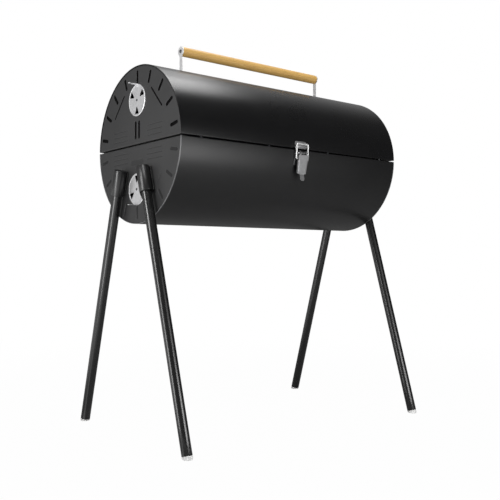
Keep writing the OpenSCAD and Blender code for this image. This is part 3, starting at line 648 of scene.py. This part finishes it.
def skinned(bm, rings, ends=True):
    """A skin over rings of vertices, with its ends filled or left."""
    for a, b in zip(rings, rings[1:]):
        for k in range(len(a)):
            n = (k + 1) % len(a)
            corners = list(dict.fromkeys((a[k], a[n], b[n], b[k])))
            if len(corners) > 2:
                bm.faces.new(corners)
    if ends:
        bm.faces.new(rings[0])
        bm.faces.new(rings[-1])
    bmesh.ops.recalc_face_normals(bm, faces=bm.faces)
    return mesh_of(bm)


def lathe(profile, steps=64, closed=False):
    """A solid turned about Z from (radius, height) points; a closed profile has a bore."""
    bm = bmesh.new()
    rings = []
    for r, h in profile:
        on_axis = r < 1e-6
        rings.append([bm.verts.new((0, 0, h))] * steps if on_axis else
                     [bm.verts.new((u, v, h)) for u, v in circle(r, steps)])
    return skinned(bm, rings + rings[:1] if closed else rings, ends=False)


def block(low, high, edge):
    """A bar between two corners with its edges rounded."""
    bm = bmesh.new()
    bmesh.ops.create_cube(bm, size=1)
    for v in bm.verts:
        v.co = [lo + (hi - lo) * (c + 0.5) for lo, hi, c in zip(low, high, v.co)]
    bmesh.ops.bevel(bm, geom=bm.edges[:], offset=edge, segments=3, affect="EDGES", profile=0.5)
    return mesh_of(bm)


def moved(mesh, matrix):
    """A mesh put in its place."""
    mesh.transform(matrix)
    return mesh


leg_enamel = enamel("leg enamel", (0.0008, 0.0008, 0.0009), (0.0015, 0.0015, 0.0016), (0.23, 0.28), 0.8,
                    0.000006, waves=0.1, dusty=0.02)
socket_enamel = enamel("socket enamel", (0.002, 0.002, 0.0022), (0.004, 0.004, 0.0042), (0.32, 0.38), 0.75,
                       waves=0.1, dusty=0.02)
bore_r = leg_r + 0.2
socket_profile = [(0, -0.5), (bore_r + 0.4, -0.5), (bore_r + 0.8, -0.1), (socket_r - 1.0, 0.0),
                  (socket_r - 0.4, -0.3), (socket_r, -1.0), (socket_r, 1.2 - socket_l),
                  (socket_r - 0.3, 0.4 - socket_l), (socket_r - 0.9, -socket_l), (bore_r + 0.9, -socket_l),
                  (bore_r + 0.3, 0.3 - socket_l), (bore_r, 1.0 - socket_l), (bore_r, -3.0), (0, -3.0)]
saddle = block((-socket_r, -9.0, 4.0 - socket_l), (0.4 - leg_r, 9.0, -4.0), 0.8)
socket_mesh = joined(lathe(socket_profile), saddle)
leg_top = -5.0
leg_profile = [(leg_r - 1.2, leg_top + 0.5), (leg_r - 0.3, leg_top + 0.5), (leg_r, leg_top)]
leg_profile += [(leg_r, leg_top - (leg_l - 15) * k / 12) for k in range(1, 12)]
leg_profile += [(leg_r - less, cap_h + up - leg_l) for less, up in ((0, 0.7), (0.2, 0.2), (0.6, 0), (1.2, 0))]


def foot_mesh(steps=48):
    """A cap whose top is square to the leg and whose sole lies flat on the ground."""
    bm = bmesh.new()

    def ring(r, height, over_ground=False):
        """A ring of vertices round the leg, at a height along it or at a height over the ground."""
        verts = []
        for u, v in circle(r, steps):
            up = (height - (leg_place @ Vector((u, v, 0))).z) / cos(splay) if over_ground else height
            verts.append(bm.verts.new(leg_place @ Vector((u, v, up))))
        return verts

    top = cap_h - leg_l
    collar = ((1.4, 8), (1.4, 0.1), (0.4, 0), (0, -0.4), (0, -1.6), (0.25, -2.0))
    sole = ((0.25, 1.4), (0.5, 0.4), (1.1, 0.0), (3, 0.0), (3.6, 0.8))
    rings = [ring(leg_r - less, top + up) for less, up in collar]
    rings += [ring(leg_r - less, up, True) for less, up in sole]
    return skinned(bm, rings + [ring(1.5, 0.8, True)])


# moulded nylon, slightly waxy, scuffed where it meets the ground
nylon, tree, shader, place = finish("foot nylon", Specular_IOR_Level=0.45, Subsurface_Weight=0.15,
                                    Subsurface_Radius=(0.004, 0.004, 0.004), Subsurface_Scale=1.0)
scuff = use(tree, smears, place, Size=90.0, Low=0.38, High=0.55)
near_ground = ranged(tree, dot(tree, place, Z_AXIS), 0.0015, 0.0, 0.0, 0.6)
worn = times(tree, near_ground, scuff["Mask"])
connect(tree, shader, blend(tree, worn, (0.96, 0.96, 0.95), (0.62, 0.61, 0.59)), scuff["Value"])

LEG_PARTS = (  # (piece, its mesh, CAD node, slot, material)
    ("leg_socket", moved(socket_mesh, leg_place), "socket", "leg_enamel", socket_enamel),
    ("leg_tube", moved(lathe(leg_profile, closed=True), leg_place), "leg", "leg_enamel", leg_enamel),
    ("foot_cap", foot_mesh(), "foot", "foot_plastic", nylon),
)
for depth, y_way in (("front", -1), ("rear", 1)):
    for end, x_way in ENDS:
        for label, mesh, node, slot, material in LEG_PARTS:
            piece(f"{label}_{depth}_{end}", mirrored(mesh, x=x_way, y=y_way), material, 38, "base", slot,
                  f"{node}_{depth}_{end}")

# ---------- The weld beads ----------
# Runs of weld fix each saddle along both sides and across both ends. A run is a row of small overlapping
# drops laid along the corner between the saddle and the plate, and it is painted over with the socket.


def shape_tree(name, inputs):
    """A new geometry tree with these inputs and a material, as (tree, what it is given)."""
    inputs = {"Geometry": "Geometry", **inputs, "Material": "Material"}
    return group(name, inputs, {"Geometry": "Geometry"}, "GeometryNodeTree")[:2]


def sphere(tree, segments, rings, radius):
    """A ball as geometry."""
    size = {"Segments": segments, "Rings": rings, "Radius": radius}
    return put(tree, "GeometryNodeMeshUVSphere", size)[0]


def placed(tree, points, shape, **more):
    """One instance of a shape at every point."""
    return put(tree, "GeometryNodeInstanceOnPoints", {"Points": points, "Instance": shape, **more})[0]


def end_shape(tree, geometry):
    """Ends a tree: real geometry, smooth, with its material."""
    material = tree.nodes["Group Input"].outputs["Material"]
    real = put(tree, "GeometryNodeRealizeInstances", {0: geometry})
    smooth = put(tree, "GeometryNodeSetShadeSmooth", {"Geometry": real[0]})
    dressed = put(tree, "GeometryNodeSetMaterial", {"Geometry": smooth[0], "Material": material})
    tree.links.new(dressed[0], tree.nodes["Group Output"].inputs[0])


def grown(name, base, tree, values, body, slot, *nodes):
    """Runs a tree on a mesh drawn in millimetres, and keeps the result as a piece on a body."""
    base.transform(Matrix.Scale(MM, 4))
    thing = into_scene(name, base)
    modifier = thing.modifiers.new("shape", "NODES")
    modifier.node_group = tree
    sockets = {item.name: item.identifier for item in tree.interface.items_tree if item.in_out == "INPUT"}
    for label, value in values.items():
        modifier[sockets[label]] = value
    baked(thing).data.name = name
    settle(thing, body, nodes)


def dots(points, facing=None):
    """A mesh of loose points, each with the direction that it faces."""
    mesh = bpy.data.meshes.new("points")
    mesh.from_pydata([tuple(p) for p in points], [], [])
    if facing is not None:
        way = mesh.attributes.new("facing", "FLOAT_VECTOR", "POINT")
        way.data.foreach_set("vector", [c for v in facing for c in v])
    return mesh


tree, given = shape_tree("weld run", {"Size": 0.002, "Seed": 4})
uneven = put(tree, "FunctionNodeRandomValue", {2: 0.82, 3: 1.12, "Seed": given["Seed"]})[1]
drops = placed(tree, given[0], sphere(tree, 10, 6, given["Size"]), Scale=uneven)
end_shape(tree, drops)

bead_x = 0.7 - socket_r
bead_pitch = 1.9
spots = [Vector((bead_x, 9.4 * side, -5 - bead_pitch * k)) for side in SIDES for k in range(28)]
spots += [Vector((bead_x, -8.5 + bead_pitch * k, z)) for z in (-3.7, 3.7 - socket_l) for k in range(10)]
spots = [leg_place @ p for p in spots]
grown("weld_beads", dots([(p.x * a, p.y * b, p.z) for p in spots for a in SIDES for b in SIDES]), tree,
      {"Size": 0.0019, "Seed": 4, "Material": socket_enamel}, "base", "leg_enamel")

# ---------- The grates ----------
# Two cooking grates and a charcoal grate rest inside the bowl, the upper ones on two folded rails. Each is a
# bent rod frame with straight bars resistance-welded between its long sides, and the fire has browned it.


def ramp(tree, value, *stops):
    """The colour that a value picks from stops of (position, three numbers)."""
    node = tree.nodes.new("ShaderNodeValToRGB")
    tree.links.new(value, node.inputs[0])
    ready = node.color_ramp.elements
    for k, (position, colour) in enumerate(stops):
        stop = ready[k] if k < 2 else ready.new(position)
        stop.position, stop.color = position, (*colour, 1)
    return node.outputs["Color"]


def vector(tree, **parts):
    """A vector made from numbers or sockets for its X, Y and Z."""
    return put(tree, "ShaderNodeCombineXYZ", parts)[0]


def swept(tree, curve, steps, radius, **more):
    """A round rod along a curve."""
    outline = put(tree, "GeometryNodeCurvePrimitiveCircle", {"Resolution": steps, "Radius": radius})[0]
    return put(tree, "GeometryNodeCurveToMesh", {"Curve": curve, "Profile Curve": outline, **more})[0]


def changed(tree, geometry, **how):
    """Geometry moved or scaled."""
    return put(tree, "GeometryNodeTransform", {"Geometry": geometry, **how})[0]


def dress(material, *nodes):
    """Gives CAD nodes that stay as they are their finish."""
    for node in nodes:
        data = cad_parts[node].data
        data.materials.clear()
        data.materials.append(material)


# plated wire that heat has tinted in places
wire, tree, shader, place = finish("browned wire", Metallic=1.0)
heat = ramp(tree, noise(tree, place, 9.0, 4.0), (0.38, (0.52, 0.51, 0.50)), (0.66, (0.40, 0.33, 0.25)))
connect(tree, shader, heat, use(tree, smears, place, Size=24.0, Low=0.28, High=0.5)["Value"])

tree, given = shape_tree("welded grate", {
    "Half Length": 0.17, "Half Width": 0.17, "Corner": 0.012, "Rod": 0.003, "Bar": 0.002, "First Bar": 0.15,
    "Bars": 20, "Middle": "Vector"})
outline = put(tree, "GeometryNodeCurvePrimitiveQuadrilateral", {
    "Width": times(tree, given["Half Length"], 2.0), "Height": times(tree, given["Half Width"], 2.0)})
bent = put(tree, "GeometryNodeFilletCurve", {
    "Curve": outline[0], "Radius": given["Corner"], "Count": 8}, mode="POLY")
rim = swept(tree, bent[0], 20, given["Rod"])
marks = put(tree, "GeometryNodeMeshLine", {
    "Count": given["Bars"], "Start Location": vector(tree, X=times(tree, given["First Bar"], -1.0)),
    "Offset": vector(tree, X=given["First Bar"])}, mode="END_POINTS", count_mode="TOTAL")[0]
bar_ends = [vector(tree, Y=times(tree, given["Half Width"], -1.0)), vector(tree, Y=given["Half Width"])]
line = put(tree, "GeometryNodeCurvePrimitiveLine", {"Start": bar_ends[0], "End": bar_ends[1]})
bar = swept(tree, line[0], 16, given["Bar"], **{"Fill Caps": True})
bars = placed(tree, marks, bar)
blob = sphere(tree, 10, 6, times(tree, given["Bar"], 1.3))
welds = [changed(tree, placed(tree, marks, blob), Translation=spot) for spot in bar_ends]
whole = put(tree, "GeometryNodeJoinGeometry", {0: [rim, bars, *welds]})[0]
end_shape(tree, changed(tree, whole, Translation=given["Middle"]))

rod_d, corner_r = 6, 12
for name, bar_d, pitch in (("cooking_grate_left", 4, 14), ("cooking_grate_right", 4, 14),
                           ("charcoal_grate", 5, 20)):
    low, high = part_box(name)
    half_l, half_w = (high.x - low.x) / 2 - rod_d / 2 * MM, (high.y - low.y) / 2 - rod_d / 2 * MM
    first_bar = half_l - (corner_r + bar_d) * MM
    grown(f"{name}_wires", dots([(0, 0, 0)]), tree, {
        "Half Length": half_l, "Half Width": half_w, "Corner": corner_r * MM, "Rod": rod_d / 2 * MM,
        "Bar": bar_d / 2 * MM, "First Bar": first_bar, "Bars": int(2 * first_bar / MM / pitch) + 1,
        "Middle": (low + high) / 2, "Material": wire}, name, "grate_wire", name)

rail_enamel = enamel("rail enamel", (0.01, 0.01, 0.01), (0.016, 0.015, 0.014), (0.42, 0.55), 0.35, dusty=0.3)
dress(rail_enamel, "grate_rail_front", "grate_rail_rear")

# ---------- The hinges ----------
# Two butt hinges at the back, each with three rolled knuckles on a steel pin. Their leaves are curved to the
# drum and sprayed with it, and a stop on each leaf holds the open lid just past upright.


def softened(node, edge=0.3):
    """A CAD node's mesh in millimetres, its sharp edges rounded as pressing and tumbling leave them."""
    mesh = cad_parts[node].data.copy()
    mesh.transform(Matrix.Scale(1 / MM, 4))
    bm = bmesh.new()
    bm.from_mesh(mesh)
    bmesh.ops.remove_doubles(bm, verts=bm.verts, dist=0.0005)
    bmesh.ops.dissolve_limit(bm, angle_limit=radians(0.5), verts=bm.verts, edges=bm.edges)
    bm.to_mesh(mesh)
    bm.free()
    return worked(mesh, bevel(edge, 35))


def metal(name, bright, dark, rough, size=40.0, grain=(900.0, 60.0, 900.0)):
    """Plated or turned steel: a grain along one axis, and a tone and gloss that drift."""
    made, tree, shader, place = finish(name, Metallic=1.0)
    drift = use(tree, smears, place, Size=size, Low=rough[0], High=rough[1])
    colour = blend(tree, drift["Mask"], bright, dark)
    connect(tree, shader, colour, drift["Value"], streaks(tree, place, grain, 2.0), 0.5, 0.00002)
    return made


hinge_enamel = enamel("hinge enamel", (0.010, 0.010, 0.0105), (0.014, 0.014, 0.0145), (0.28, 0.36), 0.4)
for end, _ in ENDS:
    for body in ("base", "lid"):
        node = f"hinge_{body}_{end}"
        piece(f"hinge_{body}_leaf_{end}", softened(node), hinge_enamel, 30, body, "black_enamel", node)
pin_steel = metal("pin steel", (0.66, 0.66, 0.67), (0.52, 0.52, 0.53), (0.25, 0.38),
                  grain=(60.0, 900.0, 900.0))
dress(pin_steel, "hinge_pin_left", "hinge_pin_right", "leg_studs", "leg_inserts")

# ---------- The handle ----------
# A turned beech bar, sanded and oiled, hangs between two strips of plated steel. Each strip ends in a disc
# that covers the bar's end, is bent under the bar, and is bolted through the lid.

bar_low, bar_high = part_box("handle_bar")
half_l = (bar_high.x - bar_low.x) / MM / 2
bar_r = (bar_high.z - bar_low.z) / 2 / MM
bar_z = (bar_high.z + bar_low.z) / 2 / MM
bar_edge = 2
apex_z = axis_z + drum_r
strip_t, half_w, strip_foot = 2.0, 5.0, 24.0

beech, tree, shader, place = finish("oiled beech", Specular_IOR_Level=0.4, Coat_Weight=0.12,
                                    Coat_Roughness=0.28)
# growth rings: bands round a pith that lies well outside the bar and wanders a little
wander = streaks(tree, place, (2.2, 6.0, 6.0), 2.0)
from_pith = length(tree, stretched(tree, place, (0.0, 1.0, 1.0), Location=(0.0, 0.035, -0.93)))
ring = calc(tree, "FRACT", times(tree, calc(tree, "MULTIPLY_ADD", wander, 0.022, from_pith), 420.0))
late = ramp(tree, ring, (0.0, (0.05, 0.05, 0.05)), (0.86, (0.75, 0.75, 0.75)), (1.0, (0.05, 0.05, 0.05)))
# fibres and short dark flecks along the bar
fibre = streaks(tree, place, (14.0, 700.0, 700.0), 4.0, Roughness=0.65)
fleck = streaks(tree, place, (160.0, 1100.0, 1100.0), 1.0)
wood = blend(tree, late, (0.97, 0.63, 0.21), (0.85, 0.50, 0.145))
wood = blend(tree, ranged(tree, fibre, 0.3, 0.75, 0.0, 0.45), wood, (0.62, 0.33, 0.085))
wood = blend(tree, ranged(tree, fleck, 0.62, 0.72, 0.0, 0.55), wood, (0.40, 0.19, 0.05))
touched = use(tree, smears, place, Size=14.0, Low=0.42, High=0.56)
connect(tree, shader, wood, touched["Value"], fibre, 0.6, 0.00008)

end_turn = [(bar_r - left, half_l - gone) for left, gone in bend(bar_edge)]
profile = [(0, half_l), *end_turn, (bar_r, half_l - 6), (bar_r, 0), (bar_r, 6 - half_l)]
profile += [(r, -h) for r, h in reversed(end_turn)] + [(0, -half_l)]
turn_to_x = Matrix.Translation((0, 0, bar_z)) @ Matrix.Rotation(pi / 2, 4, "Y")
piece("handle_grip_bar", moved(lathe(profile, 72), turn_to_x), beech, 45, "lid", "handle_wood", "handle_bar")

strip_steel = metal("plated strip", (1.0, 1.0, 1.0), (0.92, 0.92, 0.93), (0.48, 0.60),
                    grain=(900.0, 900.0, 40.0))
mid_x, low_z, turn_r = half_l + strip_t / 2, apex_z + strip_t / 2, 2.8
foot_end = half_l + strip_t - strip_foot
foot_steps = ((0, 1.9), (0.6, 0.9), (1.8, 0.2), (3, 0), (12, 0))
path = [(foot_end + out, low_z, half_w - less) for out, less in foot_steps]
path += [(mid_x - left, low_z + gone, half_w) for left, gone in bend(turn_r)]
first = asin(half_w / bar_r)
neck = bar_r * cos(first)
path += [(mid_x, bar_z - neck - below, half_w) for below in (12, 1.5)]
path += [(mid_x, bar_z - bar_r * cos(a), bar_r * sin(a)) for a in angles(first, pi - 0.06, 18)]
strip_sheet = strip([(x, z) for x, z, _ in path], [w for _, _, w in path], (-1, -0.8, -0.4, 0, 0.4, 0.8, 1))
strip_mesh = thickened(strip_sheet, strip_t, 0, 0.35)
for end, way in ENDS:
    piece(f"handle_strip_{end}", mirrored(strip_mesh, x=way), strip_steel, 35, "lid", "zinc_steel",
          f"handle_bracket_{end}")

# ---------- The screws and bolts ----------
# Two cross-head screws hold the bar, and two button-head bolts with hexagon sockets, washers and nuts hold
# the strips. All are turned or cold-headed steel.


def set_out(tree, points, shape):
    """Ends a tree that sets a shape on every point, turned to the direction that the point faces."""
    facing = put(tree, "GeometryNodeInputNamedAttribute", {"Name": "facing"}, data_type="FLOAT_VECTOR")
    turned = put(tree, "FunctionNodeAlignRotationToVector", {"Vector": facing[0]}, axis="Z")
    end_shape(tree, placed(tree, points, shape, Rotation=turned[0]))


blackened = metal("blackened steel", (0.10, 0.10, 0.105), (0.055, 0.055, 0.06), (0.32, 0.45))
bolt_steel = metal("bolt steel", (0.70, 0.70, 0.71), (0.55, 0.55, 0.56), (0.2, 0.34))
tree, given = shape_tree("driven heads", {
    "Radius": 0.0045, "Height": 0.003, "Recess": 0.0015, "Depth": 0.0015, "Cross": True})
size = vector(tree, X=given["Radius"], Y=given["Radius"], Z=given["Height"])
head = changed(tree, sphere(tree, 40, 20, 1.0), Scale=size)
wide, thin, deep = (times(tree, given[label], factor) for label, factor in (
    ("Recess", 2.0), ("Recess", 0.45), ("Depth", 2.0)))
arms = [put(tree, "GeometryNodeMeshCube", {"Size": vector(tree, X=x, Y=y, Z=deep)})[0]
        for x, y in ((wide, thin), (thin, wide))]
cross = put(tree, "GeometryNodeMeshBoolean", {1: arms}, operation="UNION")[0]
hexagon = put(tree, "GeometryNodeMeshCylinder", {"Vertices": 6, "Radius": given["Recess"], "Depth": deep})[0]
key = put(tree, "GeometryNodeSwitch", {"Switch": given["Cross"], "False": hexagon, "True": cross},
          input_type="GEOMETRY")[0]
key = changed(tree, key, Translation=vector(tree, Z=given["Height"]))
driven = put(tree, "GeometryNodeMeshBoolean", {0: head, 1: key}, operation="DIFFERENCE")[0]
set_out(tree, given[0], driven)

bolt_x, bolt_z = half_l - 14, apex_z + strip_t
outwards = [(s, 0, 0) for s in SIDES]
grown("handle_screw_heads", dots([(s * (half_l + strip_t), 0, bar_z) for s in SIDES], outwards), tree,
      {"Radius": 0.0045, "Height": 0.003, "Recess": 0.0016, "Depth": 0.0014, "Cross": True,
       "Material": blackened}, "lid", "dark_rivet", "handle_screws")
grown("bracket_bolt_heads", dots([(s * bolt_x, 0, bolt_z) for s in SIDES], [Z_AXIS] * 2), tree,
      {"Radius": 0.00525, "Height": 0.0033, "Recess": 0.0021, "Depth": 0.0018, "Cross": False,
       "Material": bolt_steel}, "lid", "zinc_steel")
thread_r, thread_top = 3.0, -4.0
bolt_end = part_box("bracket_bolts")[0].z / MM - bolt_z
threads = [(thread_r - 0.28 * (k % 2), thread_top + (bolt_end - thread_top) * k / 24) for k in range(24)]
shank = lathe([(0, 0.5), (2.95, 0.5), (2.95, -3.6), *threads, (2.3, bolt_end), (0, bolt_end)], 32)
shanks = joined(*(moved(shank.copy(), Matrix.Translation((s * bolt_x, 0, bolt_z))) for s in SIDES))
piece("bracket_bolt_shanks", shanks, bolt_steel, 50, "lid", "zinc_steel", "bracket_bolts")
dress(bolt_steel, "bracket_washers", "bracket_nuts")

# ---------- The latch ----------
# A pressed steel lever turns between the ears of a dark, riveted base. It carries a bent wire bail that it
# pulls down over the lip of the catch plate on the lid. Lever and catch are nickel-plated and brushed.

latch_steel = metal("brushed nickel", (0.36, 0.36, 0.365), (0.30, 0.30, 0.305), (0.46, 0.58), 60.0,
                    (1400.0, 1400.0, 50.0))
bright_wire = metal("bright wire", (1.0, 1.0, 1.0), (0.94, 0.94, 0.94), (0.42, 0.52), 90.0)
dark_steel = metal("darkened steel", (0.07, 0.07, 0.072), (0.045, 0.045, 0.047), (0.40, 0.52))
for node, body, coat in (("latch_base", "base", dark_steel), ("catch_plate", "lid", latch_steel)):
    piece(f"{node}_pressing", softened(node, 0.22), coat, 30, body, "latch_steel", node)
dress(bolt_steel, "latch_pin")

# the lever: a channel that narrows to a bent finger tail, on a neck of two drilled cheeks
pin_low, pin_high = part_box("latch_pin")
pivot = (pin_low + pin_high) / 2 / MM
lever_place = Matrix.Translation((0, pivot.y, pivot.z)) @ Matrix.Rotation(radians(10), 4, "X")
lever_t, lever_bend, cheek_x, bail_drop, tail_z = 1.5, 1.6, 10.25, 14.7, -52.5
face_y = lever_t / 2 - 6.5


def channel_row(y, z, half_w, sides):
    """A row across the lever: its face, and on both edges a side folded back or a flat margin."""
    edge = half_w - lever_t / 2 - lever_bend
    row = [(edge + lever_bend, lever_bend + back) for back in (3.2, 1.2)]
    if sides:
        row += [(edge + lever_bend - gone, left) for left, gone in bend(lever_bend, 4)]
    else:
        row += [(edge + (lever_bend + lever_t / 2) * k / 4, 0.0) for k in (4, 3, 2, 1, 0)]
    row += [(edge * f, 0.0) for f in (0.66, 0.33)]
    row = [(-x, back) for x, back in row] + [(0.0, 0.0)] + [(x, back) for x, back in reversed(row)]
    return [(x, y + back, z) for x, back in row]


# (height, half the width, whether the sides are folded back there)
channel = [(-4.3, 15.0, False), (-4.6, 15.9, False), (-5.3, 16.6, False), (-6.5, 17.0, False),
           (-15.2, 16.6, False), (-17.0, 16.5, False), (-18.0, 16.45, True)]
channel += [(-18.0 - 4 * k, 16.45 - 0.235 * k, True) for k in range(1, 8)]
channel += [(-49.6, 14.7, True), (-50.6, 14.3, True), (-51.4, 13.2, False), (-51.8, 11.0, False),
            (-52.0, 8.0, False), (tail_z, 6.6, False)]
tail = [(0.6, 6.5), (1.2, 6.5), (5, 6.5), (9, 6.4), (12, 6.2), (14, 5.7), (15.4, 4.9), (16.3, 3.6),
        (16.8, 2.9)]
rows = [channel_row(face_y, z, w, sides) for z, w, sides in channel]
for k, (down, w) in enumerate(tail):
    lean = radians(min(20, 8 + 6 * k))
    rows.append(channel_row(face_y - down * sin(lean), tail_z - down * cos(lean), w, False))
sided = [sides for _, _, sides in channel] + [False] * len(tail)
last = len(rows[0]) - 2
lever_sheet = grid(rows, lambda i, j: 2 <= j <= last - 2 or (sided[i] and sided[i + 1]),
                   lambda p: Vector((p.x * 0.01, -1, 0)) if abs(p.x) < 11 else Vector((p.x, -3, 0)))
lever_sheet = thickened(lever_sheet, lever_t, 0, 0.25)


def cheek(x):
    """One side of the neck, drilled for the pivot pin and for the bail."""
    corners = [(-5.3, -1.0), (-4.6, 2.6), (-2.6, 4.8), (0.0, 5.5), (2.8, 4.8), (4.8, 2.6), (5.4, 0.0),
               (4.4, -3.2), (3.0, -5.0), (3.0, -16.8), (1.4, -18.6), (-5.3, -18.6)]
    bores = [circle(2.1, 24), circle(1.95, 24, (0, -bail_drop))]
    return thickened(pressed_sheet([(corners, 0.0)], bores, [], lambda u, v, h: (x, u, v)), lever_t, 0, 0.2)


lever_mesh = moved(joined(lever_sheet, cheek(-cheek_x), cheek(cheek_x)), lever_place)
piece("latch_lever_pressing", lever_mesh, latch_steel, 35, "latch_lever", "latch_steel", "latch_lever")


def tube(points, radius, steps=20):
    """A round wire through points, closed at both ends."""
    bm = bmesh.new()
    side = None
    rings = []
    for k, p in enumerate(points):
        ahead = (points[min(k + 1, len(points) - 1)] - points[max(k - 1, 0)]).normalized()
        side = ahead.orthogonal() if side is None else side - ahead * side.dot(ahead)
        side.normalize()
        up = ahead.cross(side)
        rings.append([bm.verts.new(p + radius * (c * side + s * up)) for c, s in circle(1, steps)])
    return skinned(bm, rings)


# the bail: one wire, bent at four corners, whose ends turn in the lever's cheeks
bail_low, bail_high = (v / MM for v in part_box("latch_bail"))
inset, bend_r, hook_x = 1.5, 3, 9.6
side_x = bail_high.x - inset
low_end, high_end = (bail_high.y - inset, bail_low.z + inset), (bail_low.y + inset, bail_high.z - inset)
corners = [Vector(p) for p in ((-hook_x, *low_end), (-side_x, *low_end), (-side_x, *high_end),
                               (side_x, *high_end), (side_x, *low_end), (hook_x, *low_end))]
line = [corners[0]]
for before, corner, after in zip(corners, corners[1:], corners[2:]):
    into, out = (corner - before).normalized(), (after - corner).normalized()
    line += [corner - left * into + gone * out for left, gone in bend(bend_r, 8)]
line.append(corners[-1])
piece("latch_bail_wire", tube(line, 2.0), bright_wire, 50, "latch_bail", "latch_wire", "latch_bail")

# ---------- The rivets ----------
# The hinges, the latch and its catch are riveted through the shells, and each damper turns on a rivet of its
# own. A rivet has a domed head on both sides with a faint collar where the tool pressed it.

tree, given = shape_tree("rivet heads", {"Radius": 0.0035, "Height": 0.0016})
ball = sphere(tree, 28, 14, 1.0)
dome_r, collar_h = times(tree, given["Radius"], 0.9), times(tree, given["Height"], 0.3)
dome = changed(tree, ball, Scale=vector(tree, X=dome_r, Y=dome_r, Z=given["Height"]))
collar = changed(tree, ball, Scale=vector(tree, X=given["Radius"], Y=given["Radius"], Z=collar_h))
set_out(tree, given[0], put(tree, "GeometryNodeJoinGeometry", {0: [dome, collar]})[0])


def wall_spots(places, outer_r, front):
    """Where rivets at (x, height over the seam) end outside and inside the drum's wall, and their facing."""
    points, facings = [], []
    for x, z in places:
        a = asin(z / drum_r)
        y, up = cos(a) * (-1 if front else 1), sin(a)
        for r, way in ((outer_r, 1), (drum_r - sheet_t, -1)):
            points.append((x, r * y, axis_z + r * up))
            facings.append((0, way * y, way * up))
    return points, facings


pin_low, pin_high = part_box("hinge_pin_right")
hinge_x, hinge_rivet_x, hinge_rivet_z = (pin_low.x + pin_high.x) / 2 / MM, 16.0, 32.0
for name, side in HALVES:
    places = [(s * hinge_x + rx * hinge_rivet_x, side * hinge_rivet_z) for s in SIDES for rx in SIDES]
    grown(f"hinge_rivet_heads_{name}", dots(*wall_spots(places, drum_r + 2.1, False)), tree,
          {"Radius": 0.0035, "Height": 0.0016, "Material": hinge_enamel}, name, "dark_rivet",
          f"hinge_rivets_{name}")
    faces = (disc_x + disc_t + 0.1, plate_x - sheet_t)
    points = [(s * x, 0, axis_z + side * vent_z) for x in faces for s in SIDES]
    grown(f"damper_rivet_heads_{name}", dots(points, outwards + outwards[::-1]), tree,
          {"Radius": 0.0032, "Height": 0.0018, "Material": blackened}, name, "dark_rivet",
          f"damper_rivets_{name}")
for name, body, places in (("latch_rivets", "base", [(-18, -12), (18, -12), (-8, -33), (8, -33)]),
                           ("catch_rivets", "lid", [(-13.5, 15.5), (13.5, 15.5)])):
    grown(f"{name[:-1]}_heads", dots(*wall_spots(places, drum_r + 1.6, True)), tree,
          {"Radius": 0.0025, "Height": 0.001, "Material": latch_steel}, body, "latch_steel", name)
dress(blackened, "rim_studs")
